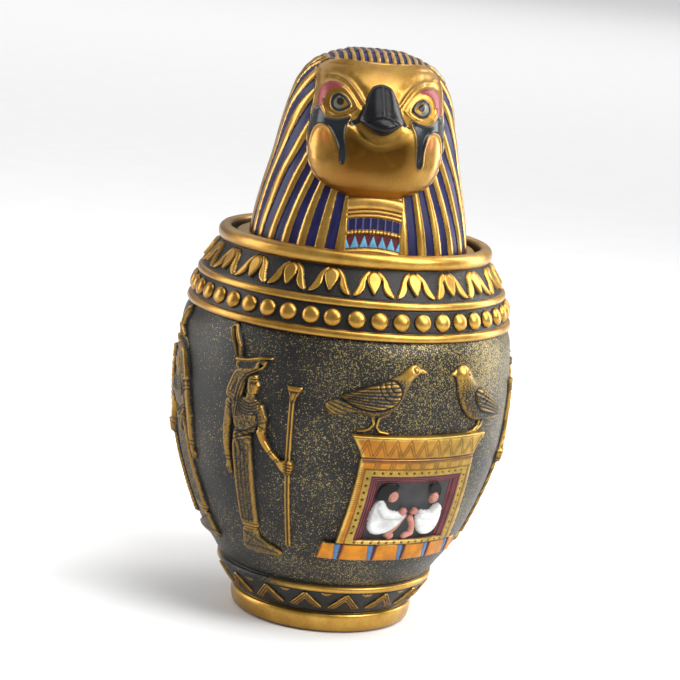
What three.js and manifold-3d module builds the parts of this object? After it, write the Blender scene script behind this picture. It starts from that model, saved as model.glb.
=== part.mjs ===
// Falcon-headed canopic jar, a cold-cast resin souvenir: a hollow jar and a lift-off lid.
// Millimetres, +Z up, the base centre at the origin, the falcon's face towards -Y.
import * as THREE from 'three';
import { mergeVertices } from 'three/addons/utils/BufferGeometryUtils.js';
import Module from 'manifold-3d';

const wasm = await Module();
wasm.setup();

// ---- jar body ----
const SIDES = 48;
const FOOT_RADIUS = 38.9;
const FOOT_HEIGHT = 8.2;
const LOW_RING_TOP = 22.4;
const LOW_RING_RADIUS = 46.0;
const BELLY_RADIUS = 70.2;
const BELLY_Z = 102;
const SHOULDER_Z = 129.4;
const UPPER_RING_RADIUS = 68.2;
const UPPER_RING_HEIGHT = 3.2;
const BEAD_BAND_TOP = 141.8;
const COLLAR_RING_RADIUS = 64.9;
const COLLAR_RING_HEIGHT = 3.0;
const LOTUS_BAND_TOP = 156.2;
const RIM_RADIUS = 57.4;
const RIM_TOP = 162.3;
const RIM_INNER_RADIUS = 52.2;
const WALL = 5;
const FLOOR_Z = 9;

// ---- lid seat ----
const SEAT_Z = 156.3;
const MOUTH_RADIUS = 46.0;
const SEAT_GAP = 0.3;
const DISC_RADIUS = 50.0;
const DISC_TOP = 159.8;
const PLUG_RADIUS = 45.2;
const PLUG_DEPTH = 8.0;

// ---- bands of ornament ----
const FLOWERS = 24;
const FLOWER_PHASE = -2.4;
const BEADS = 48;
const BEAD_PHASE = 0.4;
const BEAD_RADIUS = 3.1;
const BEAD_Z = 137.6;
const BEAD_RISE = 2.0;

// ---- figures on the belly ----
const KIOSK_AZIMUTHS = [22.5, 202.5];
const PLINTH_HALF = 33;
const PLINTH_Z = [36.5, 44.8];
const FRAME_HALF = 27.5;
const FRAME_BAR = 8.5;
const LINTEL_Z = [74.5, 82.5];
const CORNICE_TOP = 91;
const CORNICE_FLARE = 6.5;
const KIOSK_RISE = 3.2;
const FIGURES = [
  { azimuth: -39.5, side: 1 },
  { azimuth: 84.5, side: -1 },
  { azimuth: -75.5, side: -1 },
  { azimuth: 120.5, side: 1 },
];
const FIGURE_RISE = 2.0;

// ---- falcon head ----
const HEAD_TOP = 240;
const FACE_CENTRE = [0, -20.5, 208];
const FACE_SIZE = [27.5, 24, 27];

// Outer wall of the jar, listed upward as radius and height.
const beltProfile = [
  [LOW_RING_RADIUS - 0.1, 24.0], [51.4, 32], [54.3, 36.6], [58.4, 46],
  [62.3, 56], [65.7, 67], [68.5, 80], [BELLY_RADIUS, BELLY_Z], [69.3, 120], [66.6, SHOULDER_Z - 0.2],
];

function wallRadius(z) {
  const knots = [
    [38.6, 9.4], [45.4, 19.4],
    ...beltProfile,
    [66.4, 132.8], [63.6, BEAD_BAND_TOP], [63.0, 145.1], [55.6, LOTUS_BAND_TOP],
  ];
  for (let i = 1; i < knots.length; i++) {
    const [r1, z1] = knots[i];
    const [r0, z0] = knots[i - 1];
    if (z <= z1) return r0 + (r1 - r0) * (z - z0) / (z1 - z0);
  }
  return knots[knots.length - 1][0];
}

function onWall(azimuth, arc, z, lift) {
  const r = wallRadius(z);
  const angle = THREE.MathUtils.degToRad(azimuth) + arc / r;
  return [(r + lift) * Math.sin(angle), -(r + lift) * Math.cos(angle), z];
}

function solid(points, triangles) {
  const mesh = new wasm.Mesh({
    numProp: 3,
    vertProperties: new Float32Array(points.flat()),
    triVerts: new Uint32Array(triangles.flat()),
  });
  return new wasm.Manifold(mesh);
}

function fromGeometry(geometry) {
  const bare = geometry.index ? geometry.toNonIndexed() : geometry.clone();
  bare.deleteAttribute('normal');
  bare.deleteAttribute('uv');
  const merged = mergeVertices(bare, 1e-4);
  const index = merged.index.array;
  const position = merged.attributes.position;
  const triangles = [];
  let volume = 0;
  const corner = [new THREE.Vector3(), new THREE.Vector3(), new THREE.Vector3()];
  for (let i = 0; i < index.length; i += 3) {
    const [a, b, c] = [index[i], index[i + 1], index[i + 2]];
    if (a === b || b === c || c === a) continue;
    triangles.push([a, b, c]);
    [a, b, c].forEach((v, k) => corner[k].fromBufferAttribute(position, v));
    volume += corner[0].dot(corner[1].cross(corner[2]));
  }
  if (volume < 0) triangles.forEach((t) => t.reverse());
  const points = [];
  for (let v = 0; v < position.count; v++) {
    points.push([position.getX(v), position.getY(v), position.getZ(v)]);
  }
  return solid(points, triangles);
}

// A turned solid from radius and height pairs that start and end on the axis.
function turned(profile, sides) {
  const line = profile.map(([r, z]) => new THREE.Vector2(r, z));
  const geometry = new THREE.LatheGeometry(line, sides);
  geometry.rotateX(Math.PI / 2);
  geometry.rotateZ(Math.PI / sides + THREE.MathUtils.degToRad(BEAD_PHASE));
  return fromGeometry(geometry);
}

// A raised strip on the wall: at each height it runs from left(z) to right(z), in arc length.
function strip(azimuth, heights, left, right, lift, columns = 1, sink = 2.0) {
  const points = [];
  const rows = heights.length;
  const liftAt = typeof lift === 'function' ? lift : () => lift;
  for (const face of [0, 1]) {
    heights.forEach((z) => {
      for (let c = 0; c <= columns; c++) {
        const arc = left(z) + (right(z) - left(z)) * c / columns;
        points.push(onWall(azimuth, arc, z, face === 0 ? liftAt(z) : -sink));
      }
    });
  }
  const wide = columns + 1;
  const at = (face, row, column) => face * rows * wide + row * wide + column;
  const triangles = [];
  const quad = (a, b, c, d) => triangles.push([a, b, c], [a, c, d]);
  for (let r = 0; r < rows - 1; r++) {
    for (let c = 0; c < columns; c++) {
      quad(at(0, r, c), at(0, r, c + 1), at(0, r + 1, c + 1), at(0, r + 1, c));
      quad(at(1, r, c), at(1, r + 1, c), at(1, r + 1, c + 1), at(1, r, c + 1));
    }
    quad(at(0, r, 0), at(0, r + 1, 0), at(1, r + 1, 0), at(1, r, 0));
    quad(at(0, r, columns), at(1, r, columns), at(1, r + 1, columns), at(0, r + 1, columns));
  }
  for (let c = 0; c < columns; c++) {
    quad(at(0, 0, c), at(1, 0, c), at(1, 0, c + 1), at(0, 0, c + 1));
    quad(at(0, rows - 1, c), at(0, rows - 1, c + 1), at(1, rows - 1, c + 1), at(1, rows - 1, c));
  }
  return solid(points, triangles);
}

// A raised boss on the wall with a convex outline of arc and height pairs, highest at its middle.
function boss(azimuth, outline, edgeLift, middleLift, sink = 1.5) {
  const n = outline.length;
  const middle = [0, 1].map((k) => outline.reduce((sum, p) => sum + p[k], 0) / n);
  const points = [
    ...outline.map(([arc, z]) => onWall(azimuth, arc, z, edgeLift)),
    ...outline.map(([arc, z]) => onWall(azimuth, arc, z, -sink)),
    onWall(azimuth, middle[0], middle[1], middleLift),
    onWall(azimuth, middle[0], middle[1], -sink),
  ];
  let turn = 0;
  for (let i = 0; i < n; i++) {
    const [a, b] = [outline[i], outline[(i + 1) % n]];
    turn += a[0] * b[1] - a[1] * b[0];
  }
  const triangles = [];
  for (let i = 0; i < n; i++) {
    const j = (i + 1) % n;
    triangles.push([i, j, 2 * n], [j, i, n + i], [j, n + i, n + j], [n + j, n + i, 2 * n + 1]);
  }
  if (turn < 0) triangles.forEach((t) => t.reverse());
  return solid(points, triangles);
}

function ellipse(arc, z, halfWide, halfTall, tilt, count) {
  const outline = [];
  const lean = THREE.MathUtils.degToRad(tilt);
  for (let i = 0; i < count; i++) {
    const t = 2 * Math.PI * i / count;
    const [u, v] = [halfWide * Math.cos(t), halfTall * Math.sin(t)];
    outline.push([
      arc + u * Math.cos(lean) - v * Math.sin(lean),
      z + u * Math.sin(lean) + v * Math.cos(lean),
    ]);
  }
  return outline;
}

function bar(azimuth, from, to, wideFrom, wideTo, lift) {
  const along = new THREE.Vector2(to[0] - from[0], to[1] - from[1]).normalize();
  const across = new THREE.Vector2(-along.y, along.x);
  const corner = (p, side) => [p[0] + across.x * side, p[1] + across.y * side];
  const outline = [
    corner(from, -wideFrom / 2), corner(to, -wideTo / 2),
    corner(to, wideTo / 2), corner(from, wideFrom / 2),
  ];
  return boss(azimuth, outline, lift, lift);
}

const range = (n) => Array.from({ length: n }, (_, i) => i);
const steps = (from, to, n) => range(n + 1).map((i) => from + (to - from) * i / n);

// ---- the jar ----
function jarShell() {
  const rim = [
    [RIM_RADIUS - 0.8, LOTUS_BAND_TOP + 0.3], [RIM_RADIUS, 158.8],
    [RIM_RADIUS - 0.8, 161.4], [RIM_RADIUS - 2.8, RIM_TOP], [RIM_INNER_RADIUS, 161.5],
  ];
  const outside = [
    [0, 0], [36.3, 0], [FOOT_RADIUS, 3.0], [FOOT_RADIUS - 0.2, 6.4], [38.0, FOOT_HEIGHT],
    [38.6, 9.4], [45.4, 19.4], [LOW_RING_RADIUS, 20.4], [LOW_RING_RADIUS - 0.3, LOW_RING_TOP],
    ...beltProfile,
    [UPPER_RING_RADIUS, SHOULDER_Z + 1.2], [UPPER_RING_RADIUS - 0.5, SHOULDER_Z + UPPER_RING_HEIGHT],
    [66.4, 132.8], [63.6, BEAD_BAND_TOP],
    [COLLAR_RING_RADIUS, BEAD_BAND_TOP + 1.0], [COLLAR_RING_RADIUS - 0.7, BEAD_BAND_TOP + COLLAR_RING_HEIGHT],
    [63.0, 145.1], [55.6, LOTUS_BAND_TOP],
  ];
  const inside = [
    [RIM_INNER_RADIUS, SEAT_Z], [MOUTH_RADIUS, SEAT_Z], [MOUTH_RADIUS, 151.5],
    [58.6, 142], [64.0, 122], [BELLY_RADIUS - WALL, BELLY_Z], [63.4, 80],
    [58.6, 62], [45.4, 31], [34.4, 12], [31.0, FLOOR_Z], [0, FLOOR_Z],
  ];
  return turned([...outside, ...rim, ...inside], SIDES);
}

function lotusBand() {
  const parts = [];
  for (const i of range(FLOWERS)) {
    const azimuth = FLOWER_PHASE + i * 360 / FLOWERS;
    const bud = [[0, 146.2], [2.3, 151.0], [0, 155.4], [-2.3, 151.0]];
    parts.push(boss(azimuth, bud, -0.5, 1.6));
    for (const side of [-1, 1]) {
      const petal = [[1.4, 154.6], [4.6, 151.6], [7.2, 146.9], [3.4, 148.6]];
      parts.push(boss(azimuth, petal.map(([arc, z]) => [side * arc, z]), -0.5, 1.3));
    }
  }
  return parts;
}

function beadBand() {
  return range(BEADS).map((i) => {
    const outline = ellipse(0, BEAD_Z, BEAD_RADIUS, BEAD_RADIUS, 0, 6);
    return boss(BEAD_PHASE + i * 360 / BEADS, outline, -0.5, BEAD_RISE);
  });
}

// A small shrine: plinth, door frame round a sunk window, flared cornice.
function kiosk(azimuth) {
  const level = (half) => [() => -half, () => half];
  const [sillTop, lintelLow] = [PLINTH_Z[1] + 3.2, LINTEL_Z[0]];
  const inner = FRAME_HALF - FRAME_BAR;
  const jamb = steps(PLINTH_Z[1] - 0.4, LINTEL_Z[1], 3);
  const parts = [
    strip(azimuth, PLINTH_Z, ...level(PLINTH_HALF), KIOSK_RISE + 0.6, 8),
    strip(azimuth, [PLINTH_Z[1] - 0.4, sillTop], ...level(inner + 0.5), KIOSK_RISE, 6),
    strip(azimuth, [lintelLow, LINTEL_Z[1]], ...level(inner + 0.5), KIOSK_RISE, 6),
    strip(azimuth, jamb, () => -FRAME_HALF, () => -inner, KIOSK_RISE, 1),
    strip(azimuth, jamb, () => inner, () => FRAME_HALF, KIOSK_RISE, 1),
  ];
  const flare = (z) => FRAME_HALF + CORNICE_FLARE * Math.max(0, z - LINTEL_Z[1]) / (CORNICE_TOP - LINTEL_Z[1]);
  const corniceLift = (z) => KIOSK_RISE + 0.12 * (z - LINTEL_Z[1]);
  const corniceRows = [LINTEL_Z[1] - 0.4, CORNICE_TOP - 3, CORNICE_TOP];
  parts.push(strip(azimuth, corniceRows, (z) => -flare(z), flare, corniceLift, 8));
  return parts;
}

// A perching bird that faces the middle of the shrine; side is -1 on the left and 1 on the right.
function bird(azimuth, side) {
  const place = (outline) => outline.map(([arc, z]) => [side * arc, z]);
  const limb = (from, to, w0, w1) =>
    bar(azimuth, [side * from[0], from[1]], [side * to[0], to[1]], w0, w1, 1.3);
  return [
    boss(azimuth, place(ellipse(22.5, 109.5, 12.5, 6.2, -24, 8)), 0.4, 2.6),
    boss(azimuth, place(ellipse(11, 118, 4.6, 3.8, 20, 6)), 0.4, 2.2),
    limb([7.5, 118.6], [3.9, 118], 2.2, 0.8),
    limb([30, 107.5], [45, 103.2], 7.5, 4.5),
    limb([23.5, 105], [24, 90.6], 5.0, 3.0),
  ];
}

// A standing goddess with a tall crown, one arm at her side and one on a flower staff.
function goddess(azimuth, side) {
  const s = (arc) => side * arc;
  const edge = (a, b) => (side > 0 ? [(z) => a(z), (z) => b(z)] : [(z) => -b(z), (z) => -a(z)]);
  const mix = (z0, a0, z1, a1) => (z) => a0 + (a1 - a0) * (z - z0) / (z1 - z0);
  const skirt = edge(mix(43, -2.9, 86, -5.6), mix(43, 2.9, 86, 4.6));
  const chest = edge(mix(86, -5.4, 99, -10), mix(86, 4.4, 99, 6.2));
  const staff = edge(() => 18.6, () => 20.2);
  return [
    strip(azimuth, [43, 62, 86], ...skirt, FIGURE_RISE, 1),
    strip(azimuth, [85.6, 99], ...chest, FIGURE_RISE, 1),
    boss(azimuth, ellipse(s(-1.2), 106.0, 5.0, 7.9, 0, 6), 0.8, FIGURE_RISE + 0.6),
    boss(azimuth, [[s(-8), 111.6], [s(5.8), 112.5], [s(5.4), 117], [s(-9.2), 128], [s(-11), 127.6]], 0.6, 2.2),
    bar(azimuth, [s(4.2), 90], [s(18.8), 75.6], 3.2, 2.4, 1.4),
    strip(azimuth, [39.4, 72, 109], ...staff, 1.5, 1, 4),
    strip(azimuth, [34.6, 43.5], ...edge(mix(34.6, -6.4, 43.5, -3.2), mix(34.6, 10.6, 43.5, 3.2)), 1.6, 1),
  ];
}

function buildJar() {
  const relief = [...lotusBand(), ...beadBand()];
  for (const azimuth of KIOSK_AZIMUTHS) {
    relief.push(...kiosk(azimuth), ...bird(azimuth, -1), ...bird(azimuth, 1));
  }
  for (const figure of FIGURES) relief.push(...goddess(figure.azimuth, figure.side));
  return relief.reduce((body, part) => body.add(part), jarShell()).simplify(0.02);
}

// ---- the lid ----
// Headcloth sections: height, half width, front and back reach; the widest place lies at Y = clothMid.
const clothMid = -6;
const clothSections = [
  [DISC_TOP - 1.5, 45.2, -43.5, 37.5], [170, 43.6, -41.5, 37], [180, 41.6, -38.5, 36],
  [193, 38.4, -36, 34.5], [208, 35.6, -33, 32.5], [219, 33.0, -31, 29.5], [226, 30.4, -29, 26],
  [231, 27.0, -27, 21.5], [235.5, 21.0, -23, 14.5], [238.4, 13.2, -17, 7],
];

function clothPoint(section, t) {
  const [z, half, front, back] = section;
  const power = 2 / 2.35;
  const [c, s] = [Math.cos(t), Math.sin(t)];
  const reach = s < 0 ? clothMid - front : back - clothMid;
  return [
    half * Math.sign(c) * Math.abs(c) ** power,
    clothMid + reach * Math.sign(s) * Math.abs(s) ** power,
    z,
  ];
}

function headcloth() {
  const around = 28;
  const points = [];
  for (const section of clothSections) {
    for (const i of range(around)) points.push(clothPoint(section, 2 * Math.PI * i / around));
  }
  const rows = clothSections.length;
  points.push([0, clothMid, clothSections[0][0]], [0, clothMid - 1, HEAD_TOP]);
  const [low, high] = [rows * around, rows * around + 1];
  const triangles = [];
  for (const i of range(around)) {
    const j = (i + 1) % around;
    for (const r of range(rows - 1)) {
      const [a, b, c, d] = [r * around + i, r * around + j, (r + 1) * around + j, (r + 1) * around + i];
      triangles.push([a, b, c], [a, c, d]);
    }
    triangles.push([j, i, low], [(rows - 1) * around + i, (rows - 1) * around + j, high]);
  }
  return solid(points, triangles);
}

// The hooked beak: oval sections that follow a curved line from the face to the tip.
function beak() {
  const around = 12;
  const path = [
    { y: -34, z: 217.5, wide: 10.5, tall: 9.0, lean: 0 },
    { y: -43, z: 217.0, wide: 8.2, tall: 8.2, lean: 14 },
    { y: -48.5, z: 214.6, wide: 5.4, tall: 6.6, lean: 34 },
    { y: -51.4, z: 210.6, wide: 2.6, tall: 3.8, lean: 62 },
  ];
  const points = [];
  for (const p of path) {
    const lean = THREE.MathUtils.degToRad(p.lean);
    for (const i of range(around)) {
      const t = 2 * Math.PI * i / around;
      const up = p.tall * Math.sin(t);
      points.push([p.wide * Math.cos(t), p.y - up * Math.sin(lean), p.z + up * Math.cos(lean)]);
    }
  }
  points.push([0, path[0].y, path[0].z], [0, -51.2, 207.4]);
  const [root, tip] = [path.length * around, path.length * around + 1];
  const last = (path.length - 1) * around;
  const triangles = [];
  for (const i of range(around)) {
    const j = (i + 1) % around;
    for (const r of range(path.length - 1)) {
      const [a, b, c, d] = [r * around + i, r * around + j, (r + 1) * around + j, (r + 1) * around + i];
      triangles.push([a, b, c], [a, c, d]);
    }
    triangles.push([j, i, root], [last + i, last + j, tip]);
  }
  return solid(points, triangles);
}

function ball(centre, size, wide, tall) {
  const geometry = new THREE.SphereGeometry(1, wide, tall);
  geometry.rotateX(Math.PI / 2);
  geometry.scale(...size);
  geometry.translate(...centre);
  return fromGeometry(geometry);
}

function buildLid() {
  const seat = turned([
    [0, SEAT_Z - PLUG_DEPTH], [PLUG_RADIUS - 1, SEAT_Z - PLUG_DEPTH], [PLUG_RADIUS, SEAT_Z - PLUG_DEPTH + 1],
    [PLUG_RADIUS, SEAT_Z + SEAT_GAP], [DISC_RADIUS, SEAT_Z + SEAT_GAP],
    [DISC_RADIUS, DISC_TOP - 0.6], [DISC_RADIUS - 0.6, DISC_TOP], [0, DISC_TOP],
  ], SIDES);
  let lid = seat.add(headcloth()).add(ball(FACE_CENTRE, FACE_SIZE, 20, 10)).add(beak());
  for (const side of [-1, 1]) {
    lid = lid.add(ball([side * 16.6, -37, 217.5], [4.2, 3.0, 3.6], 8, 5));
  }
  for (const [z, tall] of [[180.0, 3.0], [175.6, 1.6], [168.8, 1.4], [161.6, 2.0]]) {
    const band = new THREE.BoxGeometry(21, 8, tall);
    band.translate(0, -38.6 - (180 - z) * 0.19, z);
    lid = lid.add(fromGeometry(band));
  }
  return lid.simplify(0.02);
}

function meshOf(name, manifold, material) {
  const { vertProperties, triVerts } = manifold.getMesh();
  const geometry = new THREE.BufferGeometry();
  geometry.setAttribute('position', new THREE.BufferAttribute(new Float32Array(vertProperties), 3));
  geometry.setIndex(new THREE.BufferAttribute(new Uint32Array(triVerts), 1));
  const mesh = new THREE.Mesh(geometry, material);
  mesh.name = name;
  return mesh;
}

const darkResin = new THREE.MeshStandardMaterial({ color: 0x2b2a27, roughness: 0.45, metalness: 0.3 });
const goldPaint = new THREE.MeshStandardMaterial({ color: 0xb9852f, roughness: 0.35, metalness: 0.8 });

const group = new THREE.Group();
group.name = 'canopic_jar';
group.add(meshOf('jar', buildJar(), darkResin));
group.add(meshOf('lid', buildLid(), goldPaint));

export default group;
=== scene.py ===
import math

import bpy
import numpy as np
from mathutils import Matrix, Vector


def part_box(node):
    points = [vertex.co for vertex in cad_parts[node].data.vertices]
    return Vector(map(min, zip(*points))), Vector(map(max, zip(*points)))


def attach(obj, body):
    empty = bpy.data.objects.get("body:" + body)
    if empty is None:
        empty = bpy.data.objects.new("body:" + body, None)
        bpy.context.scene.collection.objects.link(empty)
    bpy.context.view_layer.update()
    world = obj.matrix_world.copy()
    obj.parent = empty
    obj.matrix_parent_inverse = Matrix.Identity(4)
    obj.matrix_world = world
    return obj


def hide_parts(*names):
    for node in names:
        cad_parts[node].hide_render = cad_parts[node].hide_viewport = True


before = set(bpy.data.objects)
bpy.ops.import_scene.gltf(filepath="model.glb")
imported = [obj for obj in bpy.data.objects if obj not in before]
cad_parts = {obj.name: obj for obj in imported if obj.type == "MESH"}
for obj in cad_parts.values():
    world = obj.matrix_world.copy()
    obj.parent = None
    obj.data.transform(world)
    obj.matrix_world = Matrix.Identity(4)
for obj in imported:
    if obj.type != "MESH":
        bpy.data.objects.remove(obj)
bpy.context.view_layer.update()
jar_low, jar_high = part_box("jar")

# Everything below is worked out in millimetres on the jar's own axis and written in metres.
MM = 0.001
TAU = 2 * math.pi
RIM_TOP = (jar_high[2] - jar_low[2]) / MM


# ---------------------------------------------------------------- shader sockets as expressions

class Wire:
    """One shader socket; arithmetic on values adds Math nodes."""

    def __init__(self, bench, socket):
        self.bench = bench
        self.socket = socket

    def _math(self, operation, *terms):
        return self.bench.node("ShaderNodeMath", {"operation": operation}, terms)

    def __add__(self, other): return self._math("ADD", self, other)
    def __radd__(self, other): return self._math("ADD", other, self)
    def __sub__(self, other): return self._math("SUBTRACT", self, other)
    def __rsub__(self, other): return self._math("SUBTRACT", other, self)
    def __mul__(self, other): return self._math("MULTIPLY", self, other)
    def __rmul__(self, other): return self._math("MULTIPLY", other, self)

    def clamp(self):
        return self.bench.node("ShaderNodeClamp", {}, [self, 0.0, 1.0])

    def step(self, low, high):
        """0 below low, 1 above high, smooth between."""
        return self.bench.node(
            "ShaderNodeMapRange", {"interpolation_type": "SMOOTHSTEP"},
            {"Value": self, "From Min": low, "From Max": high, "To Min": 0.0, "To Max": 1.0})


class Bench:
    """A material and the nodes that make it."""

    def __init__(self, name):
        self.material = bpy.data.materials.new(name)
        self.material.use_nodes = True
        self.tree = self.material.node_tree
        self.tree.nodes.clear()
        self.place = self.node("ShaderNodeTexCoord", {}, {}, "Object")

    def node(self, kind, settings, sockets, output=0):
        """Adds a node; sockets take plain values, colours or wires."""
        made = self.tree.nodes.new(kind)
        for key, value in settings.items():
            setattr(made, key, value)
        pairs = sockets.items() if isinstance(sockets, dict) else enumerate(sockets)
        for key, value in pairs:
            target = made.inputs[key]
            if isinstance(value, Wire):
                self.tree.links.new(value.socket, target)
            elif isinstance(value, (tuple, list)) and len(value) == 3 and target.type == "RGBA":
                target.default_value = (*value, 1.0)
            else:
                target.default_value = value
        return Wire(self, made.outputs[output])

    def mix(self, factor, first, second):
        """A colour between first and second; 6, 7 and output 2 are the node's colour sockets."""
        return self.node("ShaderNodeMix", {"data_type": "RGBA"}, {0: factor, 6: first, 7: second}, 2)

    def reading(self, name, colour=False):
        output = "Color" if colour else "Fac"
        return self.node("ShaderNodeAttribute", {"attribute_name": name}, {}, output)

    def grain(self, size_mm, detail=3.0, rough=0.55, stretch=1.0, seed=0.0, twist=0.0):
        """Noise of about this size in millimetres, drawn out upward by the stretch."""
        across = 1 / (size_mm * MM)
        where = self.node("ShaderNodeMapping", {}, {
            "Vector": self.place, "Scale": (across, across, across / stretch)})
        moved = self.node("ShaderNodeVectorMath", {"operation": "ADD"}, [where, (seed, seed * 1.7, -seed)])
        return self.node("ShaderNodeTexNoise", {}, {
            "Vector": moved, "Scale": 1.0, "Detail": detail, "Roughness": rough, "Distortion": twist})

    def spot(self, axis):
        """Place along one axis, in millimetres."""
        return self.node("ShaderNodeSeparateXYZ", {}, [self.place], axis) * (1 / MM)

    def underside(self):
        """0 where the surface faces up or level, towards 1 where it faces down."""
        normal = self.node("ShaderNodeNewGeometry", {}, {}, "Normal")
        return self.node("ShaderNodeSeparateXYZ", {}, [normal], "Z").step(0.05, -0.90)

    def relief(self, height, depth_mm, below=None, strength=1.0):
        sockets = {"Strength": strength, "Distance": depth_mm * MM, "Height": height}
        if below is not None:
            sockets["Normal"] = below
        return self.node("ShaderNodeBump", {}, sockets)

    def finish(self, base, rough, metal, normal, coat=0.0, coat_rough=0.2, specular=0.5):
        shader = self.node("ShaderNodeBsdfPrincipled", {}, {
            "Base Color": base, "Roughness": rough, "Metallic": metal, "Normal": normal,
            "Coat Weight": coat, "Coat Roughness": coat_rough, "Specular IOR Level": specular})
        output = self.tree.nodes.new("ShaderNodeOutputMaterial")
        self.tree.links.new(shader.socket, output.inputs["Surface"])
        return self.material


# ---------------------------------------------------------------- colours and finishes

# Linear colours.
GOLD_BRIGHT = (0.66, 0.40, 0.078)
GOLD_DEEP = (0.44, 0.225, 0.034)
GOLD_SHADOW = (0.060, 0.024, 0.006)
GOLD_SHADE_BROWN = (0.20, 0.085, 0.012)
GRAPHITE = (0.0055, 0.0053, 0.0052)
GRAPHITE_PALE = (0.018, 0.0174, 0.0165)
NAVY = (0.008, 0.007, 0.050)
NAVY_PALE = (0.018, 0.016, 0.085)
NAVY_EDGE_SHADE = (0.006, 0.005, 0.016)
GOLD_DUST = (0.36, 0.275, 0.095)
TARNISH = (0.115, 0.088, 0.028)
RESIN_HOLLOW_SHADE = (0.010, 0.008, 0.006)
PAINT_HOLLOW_SHADE = (0.030, 0.016, 0.008)
FACE_BROWN = (0.15, 0.064, 0.008)
THROAT_SHADE_BROWN = (0.080, 0.032, 0.003)
BLUSH_ORANGE = (0.36, 0.105, 0.015)
CHEEK_ROSE = (0.22, 0.034, 0.045)
EYE_WHITE = (0.10, 0.105, 0.085)
INK, INK_PALE = (0.006, 0.007, 0.009), (0.016, 0.019, 0.022)
LACQUER, LACQUER_PALE = (0.0025, 0.0025, 0.003), (0.010, 0.0105, 0.012)
FLOOR_DIM, FLOOR_WHITE = (0.86, 0.86, 0.86), (0.90, 0.90, 0.90)
BLACK = (0.0, 0.0, 0.0)


def antique_gold(bench, recess, seed=0.0):
    """Gold paint with cloudy depth and a fine cast skin, with painted shade: brown in the hollows, towards the
    left side and on faces turned down.
    """
    cloud = bench.grain(9.0, 3.0, 0.6, seed=seed)
    fine = bench.grain(0.9, 4.0, 0.65, seed=seed + 4.0)
    tone = bench.mix(cloud.step(0.22, 0.78), GOLD_DEEP, GOLD_BRIGHT)
    tone = bench.mix(((0.62 - fine) * 2.2).clamp() * 0.30, tone, GOLD_SHADOW)
    # painted shade: the gold turns browner towards the jar's left
    tone = bench.mix(bench.spot("X").step(5.0, -52.0) * 0.50, tone, GOLD_SHADE_BROWN)
    # painted shade: browner on faces turned down
    tone = bench.mix(bench.underside() * 0.72, tone, GOLD_SHADE_BROWN)
    # painted shade in the hollows, read from 'recess'
    hollow_shade = (recess * (0.75 + 0.5 * fine)).clamp()
    return bench.mix(hollow_shade, tone, GOLD_SHADOW), cloud, fine


def gilded_resin():
    """Graphite resin with gold dragged over its grain, and full gold where 'gilt' is high."""
    bench = Bench("gilded graphite resin")
    gilt = bench.reading("gilt")
    recess = bench.reading("recess")
    gold, cloud, fine = antique_gold(bench, recess)
    scratch = bench.grain(1.05, 2.0, 0.62, seed=2.0, twist=1.1)
    pebble = bench.grain(0.46, 0.0, 0.5, seed=9.0, twist=0.6)
    patch = bench.grain(24.0, 2.0, 0.5, seed=5.0)
    flecks = scratch * 0.5 + pebble * 0.5
    # fewer gold flecks towards the jar's left, and more towards its right and shoulder: painted shade on the
    # left, painted sheen on the right and shoulder
    side_shade_and_sheen = bench.spot("X").step(-62.0, -5.0) * 0.045 - 0.030 + bench.spot("X").step(0.0, 45.0) * 0.020
    side_shade_and_sheen = side_shade_and_sheen + bench.spot("Z").step(95.0, 126.0) * bench.spot("X").step(-5.0, 45.0) * 0.065
    # fewer flecks in the hollows, a painted shade
    dry = (flecks + side_shade_and_sheen + (patch - 0.5) * 0.20 - recess * 0.3).step(0.592, 0.645)
    smoke = bench.mix(patch.step(0.3, 0.7), GRAPHITE, GRAPHITE_PALE)
    body = bench.mix(dry * 0.85, smoke, GOLD_DUST)
    worn = (gilt + (fine - 0.5) * 0.70 + (pebble - 0.5) * 0.45).step(0.36, 0.60)
    tarnish = gilt.step(1.0, 0.45) * 0.62
    base = bench.mix(worn, body, bench.mix(tarnish, gold, TARNISH))
    # painted shade in the hollows
    base = bench.mix((recess * 0.9).clamp(), base, RESIN_HOLLOW_SHADE)
    metal = worn * 0.9 + (1 - worn) * (0.08 + dry * 0.5)
    rough = worn * (0.27 + cloud * 0.14) + (1 - worn) * (0.40 - dry * 0.06)
    skin = bench.relief(flecks * (1 - worn), 0.32, strength=0.6)
    skin = bench.relief(fine, 0.07, below=skin, strength=0.4)
    return bench.finish(base, rough, metal.clamp(), skin, coat=worn * 0.18, coat_rough=0.22, specular=0.30)


def painted_cast():
    """Brushed colours from the 'paint' attribute; 'metal' tells gold paint from flat paint."""
    bench = Bench("painted cast relief")
    paint = bench.reading("paint", colour=True)
    metal = bench.reading("metal")
    recess = bench.reading("recess")
    cloud = bench.grain(6.0, 3.0, 0.6, seed=11.0)
    fine = bench.grain(0.7, 4.0, 0.6, seed=3.0)
    shade = bench.mix(cloud.step(0.3, 0.7) * 0.35, paint, BLACK)
    # painted shade in the hollows, read from 'recess'
    base = bench.mix((recess * (0.7 + 0.6 * fine)).clamp(), shade, PAINT_HOLLOW_SHADE)
    rough = 0.46 - metal * 0.16 + (fine - 0.5) * 0.12
    skin = bench.relief(fine, 0.04, strength=0.4)
    return bench.finish(base, rough, metal * 0.85, skin, coat=metal * 0.2, coat_rough=0.3, specular=0.25)


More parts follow.
